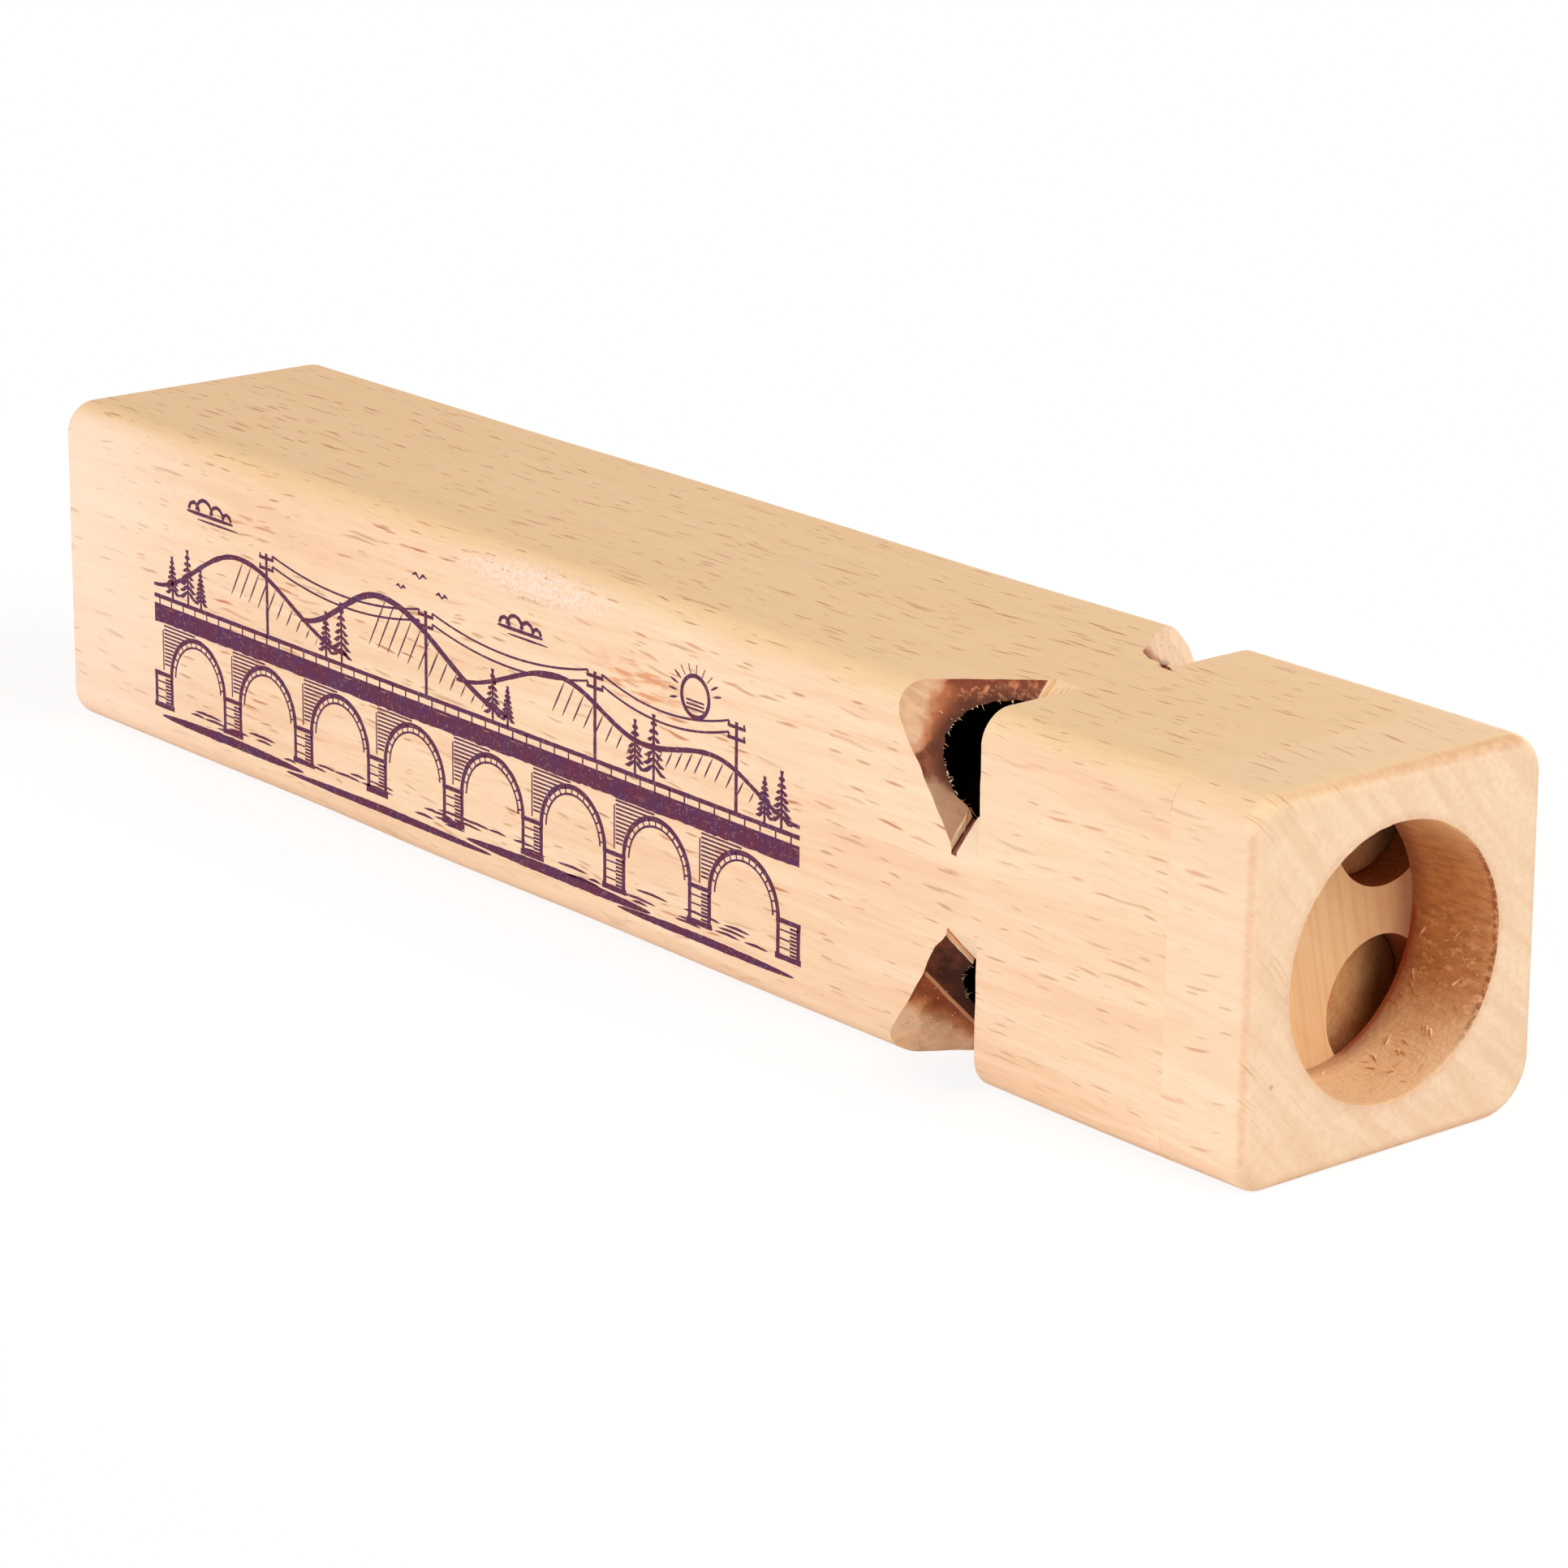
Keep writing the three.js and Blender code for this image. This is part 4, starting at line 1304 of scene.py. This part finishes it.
def pine(art, x, foot, height):
    """A pine: a trunk and pairs of drooping boughs that widen downwards."""
    art.upright(x, foot, foot + height, 0.26)
    for way in np.arange(0.2, 0.97, 0.105):
        reach = (1 - way) * height * 0.32 + 0.12
        top = foot + way * height + 0.35
        for side in (-1, 1):
            knee = (x + side * reach * 0.6, top - reach * 0.42)
            art.line([(x, top), knee, (x + side * reach, top - reach * 0.5)], 0.34, 0.75)


# Telegraph poles: their height, the lower arm's drop, the arms' half length, the insulators' place and
# height on them, and how far the wires sag
POLE_HEIGHT = 8.2
ARM_DROP = 1.1
ARM_HALF = 1.3
INSULATOR_X = 1.1
INSULATOR_HEIGHT = 0.45
WIRE_SAG = 1.5


def wires(art, poles, foot):
    """Telegraph poles with two cross arms, joined by wires that sag as parabolas."""
    top = foot + POLE_HEIGHT
    for x in poles:
        art.upright(x, foot, top + 0.5, 0.34)
        for arm in (top, top - ARM_DROP):
            art.level(x - ARM_HALF, x + ARM_HALF, arm, 0.26)
            for side in (-INSULATOR_X, INSULATOR_X):
                art.upright(x + side, arm, arm + INSULATOR_HEIGHT, 0.2)
    share = np.linspace(0, 1, 40)
    for start, end in zip(poles, poles[1:]):
        for arm in (top, top - ARM_DROP):
            run = start + INSULATOR_X + (end - start - 2 * INSULATOR_X) * share
            sag = arm + INSULATOR_HEIGHT - 4 * WIRE_SAG * share * (1 - share)
            art.line(np.column_stack([run, sag]), 0.17)


def sun(art, x, z):
    """A sun, shaded low down, with rays over its upper half."""
    middle = np.array([x, z])
    art.arc(middle, 2.0, 0, 360, 0.32)
    art.hatch(x - 1.3, x + 1.3, z - 1.2, z - 0.1, 0.38, 0.14)
    for spoke in range(15, 196, 18):
        way = np.array([math.cos(math.radians(spoke)), math.sin(math.radians(spoke)) * 0.8])
        art.line([middle + way * 2.7, middle + way * 3.9], 0.2, 0.6)


def cloud(art, x, z, size):
    """A cloud: four bumps over two level strokes."""
    for bump, radius in [(-3.1, 1.0), (-1.2, 1.5), (1.1, 1.2), (2.9, 0.8)]:
        art.arc((x + bump * size, z), radius * size, 172, 8, 0.3)
    art.level(x - 4.4 * size, x + 4.0 * size, z - 0.1, 0.3, 0.5)
    art.level(x - 2.6 * size, x + 5.0 * size, z - 0.7, 0.18, 0.8)


def bird(art, x, z, size):
    """A bird far off: two bent wings."""
    for side in (-1, 1):
        bend = (x + side * size * 0.5, z + size * 0.42)
        art.line([(x, z), bend, (x + side * size, z + size * 0.2)], 0.24, 0.6)


# The picture's loose parts: hills as (knots, line width, shade), pines as (x, height), the poles' x, and
# the sun, clouds and birds by their places and sizes
HILLS = [
    ([(-73.0, 18.6), (-57.0, 24.6), (-38.0, 18.6)], 0.4, 0.6),
    ([(-46.0, 20.6), (-32.0, 26.0), (-11.0, 18.6)], 0.5, 0.65),
    ([(-19.5, 20.4), (-3.0, 24.4), (10.0, 20.8), (20.0, 22.2), (32.6, 18.4)], 0.4, 0.55),
]
PINES = [
    (-69.5, 4.6), (-66.6, 6.0), (-64.2, 4.2), (-41.6, 4.8), (-38.9, 6.4), (-13.6, 5.2), (-11.2, 3.9),
    (8.6, 5.4), (11.4, 6.6), (27.6, 4.4), (30.0, 5.6),
]
POLES = [-52.0, -24.5, 2.5, 23.5]
SUN = (17.5, 27.2)
CLOUDS = [(-62.0, 28.0, 1.0), (-9.0, 27.6, 0.85)]
BIRDS = [(-25.5, 29.2, 1.2), (-21.8, 28.0, 0.95), (-28.6, 27.6, 0.8)]


def front_print():
    """The picture on the front face: a viaduct over water with hills, trees and a telegraph line."""
    art = LinePrint()
    viaduct(art)
    water(art)
    for knots, width, slope_shade in HILLS:
        hill(art, knots, width, slope_shade)
    for x, height in PINES:
        pine(art, x, GROUND_Z, height)
    wires(art, POLES, GROUND_Z)
    sun(art, *SUN)
    for facts in CLOUDS:
        cloud(art, *facts)
    for facts in BIRDS:
        bird(art, *facts)
    art.finish()


def stand(name, data, place, aim, roll_degrees=0.0):
    """A camera or lamp at a place, aimed at another and rolled about that line."""
    holder = bpy.data.objects.new(name, data)
    bpy.context.scene.collection.objects.link(holder)
    towards = Vector(aim) - Vector(place)
    turn = towards.to_track_quat("-Z", "Y").to_matrix().to_4x4()
    roll = Matrix.Rotation(math.radians(roll_degrees), 4, "Z")
    holder.matrix_world = Matrix.Translation(place) @ turn @ roll
    return holder


def camera():
    """The photograph's camera, aimed and rolled."""
    data = bpy.data.cameras.new("camera")
    data.lens = CAMERA_LENS_MM
    data.sensor_width = 36.0
    data.clip_start = 0.01
    data.clip_end = 20.0
    bpy.context.scene.camera = stand("camera", data, CAMERA_AT, CAMERA_AIM, CAMERA_ROLL_DEGREES)


def lamp(name, place, width, height, power, colour):
    """A soft rectangular lamp aimed at the middle of the whistle."""
    data = bpy.data.lights.new(name, "AREA")
    data.shape = "RECTANGLE"
    data.size = width
    data.size_y = height
    data.energy = power
    data.color = colour
    stand(name, data, place, (0.0, 0.0, 0.015))


def lights():
    """Soft studio light: a broad low lamp in front of the whistle's long side, one high up beyond its
    mouth, a little to the back, and a weaker low one behind it."""
    lamp("front_lamp", (-0.12, -1.0, 0.29), 0.9, 0.56, 10.0, (0.67, 0.79, 0.96))
    lamp("mouth_lamp", (0.82, 0.24, 0.66), 0.7, 0.7, 10.0, (0.62, 0.71, 0.745))
    lamp("back_lamp", (-0.25, 1.0, 0.10), 0.8, 0.5, 4.5, (0.80, 0.92, 1.0))


WHITE = (1.0, 1.0, 1.0, 1.0)


def world():
    """Even warm light all round, which the camera and reflections see as white."""
    s = Shading("studio", bpy.data.worlds)
    path = s.tree.nodes.new("ShaderNodeLightPath")
    light = s.node("ShaderNodeBackground", {"Color": (0.40, 0.30, 0.22, 1.0), "Strength": 1.0})
    white = s.node("ShaderNodeBackground", {"Color": WHITE, "Strength": 1.0})
    either = s.larger(path.outputs["Is Camera Ray"], path.outputs["Is Glossy Ray"])
    mixed = s.node("ShaderNodeMixShader", {0: either, 1: light, 2: white})
    s.node("ShaderNodeOutputWorld", {"Surface": mixed})
    bpy.context.scene.world = s.owner


# Half the floor's width, and how its glow grows with the way from the middle: the way along and across is
# multiplied by the scale, and the glow is full where that is past the second value
FLOOR_HALF = 6000.0
GLOW_SCALE = (0.0075, 0.016, 0.0)
GLOW_FROM, GLOW_TO = 0.9, 2.0


def floor():
    """A white floor. The camera sees it glow pure white, but for a share near the whistle that keeps its
    soft shadow."""
    s = Shading("white_floor")
    shader = s.node("ShaderNodeBsdfDiffuse", {"Color": (0.88, 0.88, 0.88, 1.0)})
    away = s.length(s.vector("MULTIPLY", s.position(), GLOW_SCALE))
    glowing = s.step(away, GLOW_FROM, GLOW_TO, 0.74, 1.0)
    strength = s.step(away, GLOW_FROM, GLOW_TO, 1.12, 1.0)
    glow = s.node("ShaderNodeEmission", {"Color": WHITE, "Strength": strength})
    path = s.tree.nodes.new("ShaderNodeLightPath")
    seen = s.times(path.outputs["Is Camera Ray"], glowing)
    s.node("ShaderNodeOutputMaterial", {0: s.node("ShaderNodeMixShader", {0: seen, 1: shader, 2: glow})})
    size = FLOOR_HALF
    corners = [(-size, -size, 0.0), (size, -size, 0.0), (size, size, 0.0), (-size, size, 0.0)]
    piece = mesh_object("studio_floor", corners, [[0, 1, 2, 3]], s.owner)


for piece in [whistle_body(), mouthpiece_cap()]:
    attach(piece, "root")
for edge_name, edge_facts in EDGES.items():
    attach(fipple_plug(edge_name, edge_facts), "root")
for number, (edge_name, amount) in enumerate(FIBRE_COUNTS.items()):
    notch_facts = edge_name, EDGES[edge_name], NOTCH_SHAPES[edge_name], amount
    notch_fibres(*notch_facts, FIBRE_SEED + number)
    notch_crumbs(*notch_facts, CRUMB_SEED + number)
mouth_chips()
floor_strips()
loose_strand()
front_print()

camera()
lights()
world()
floor()

scene = bpy.context.scene
scene.view_settings.view_transform = "Standard"
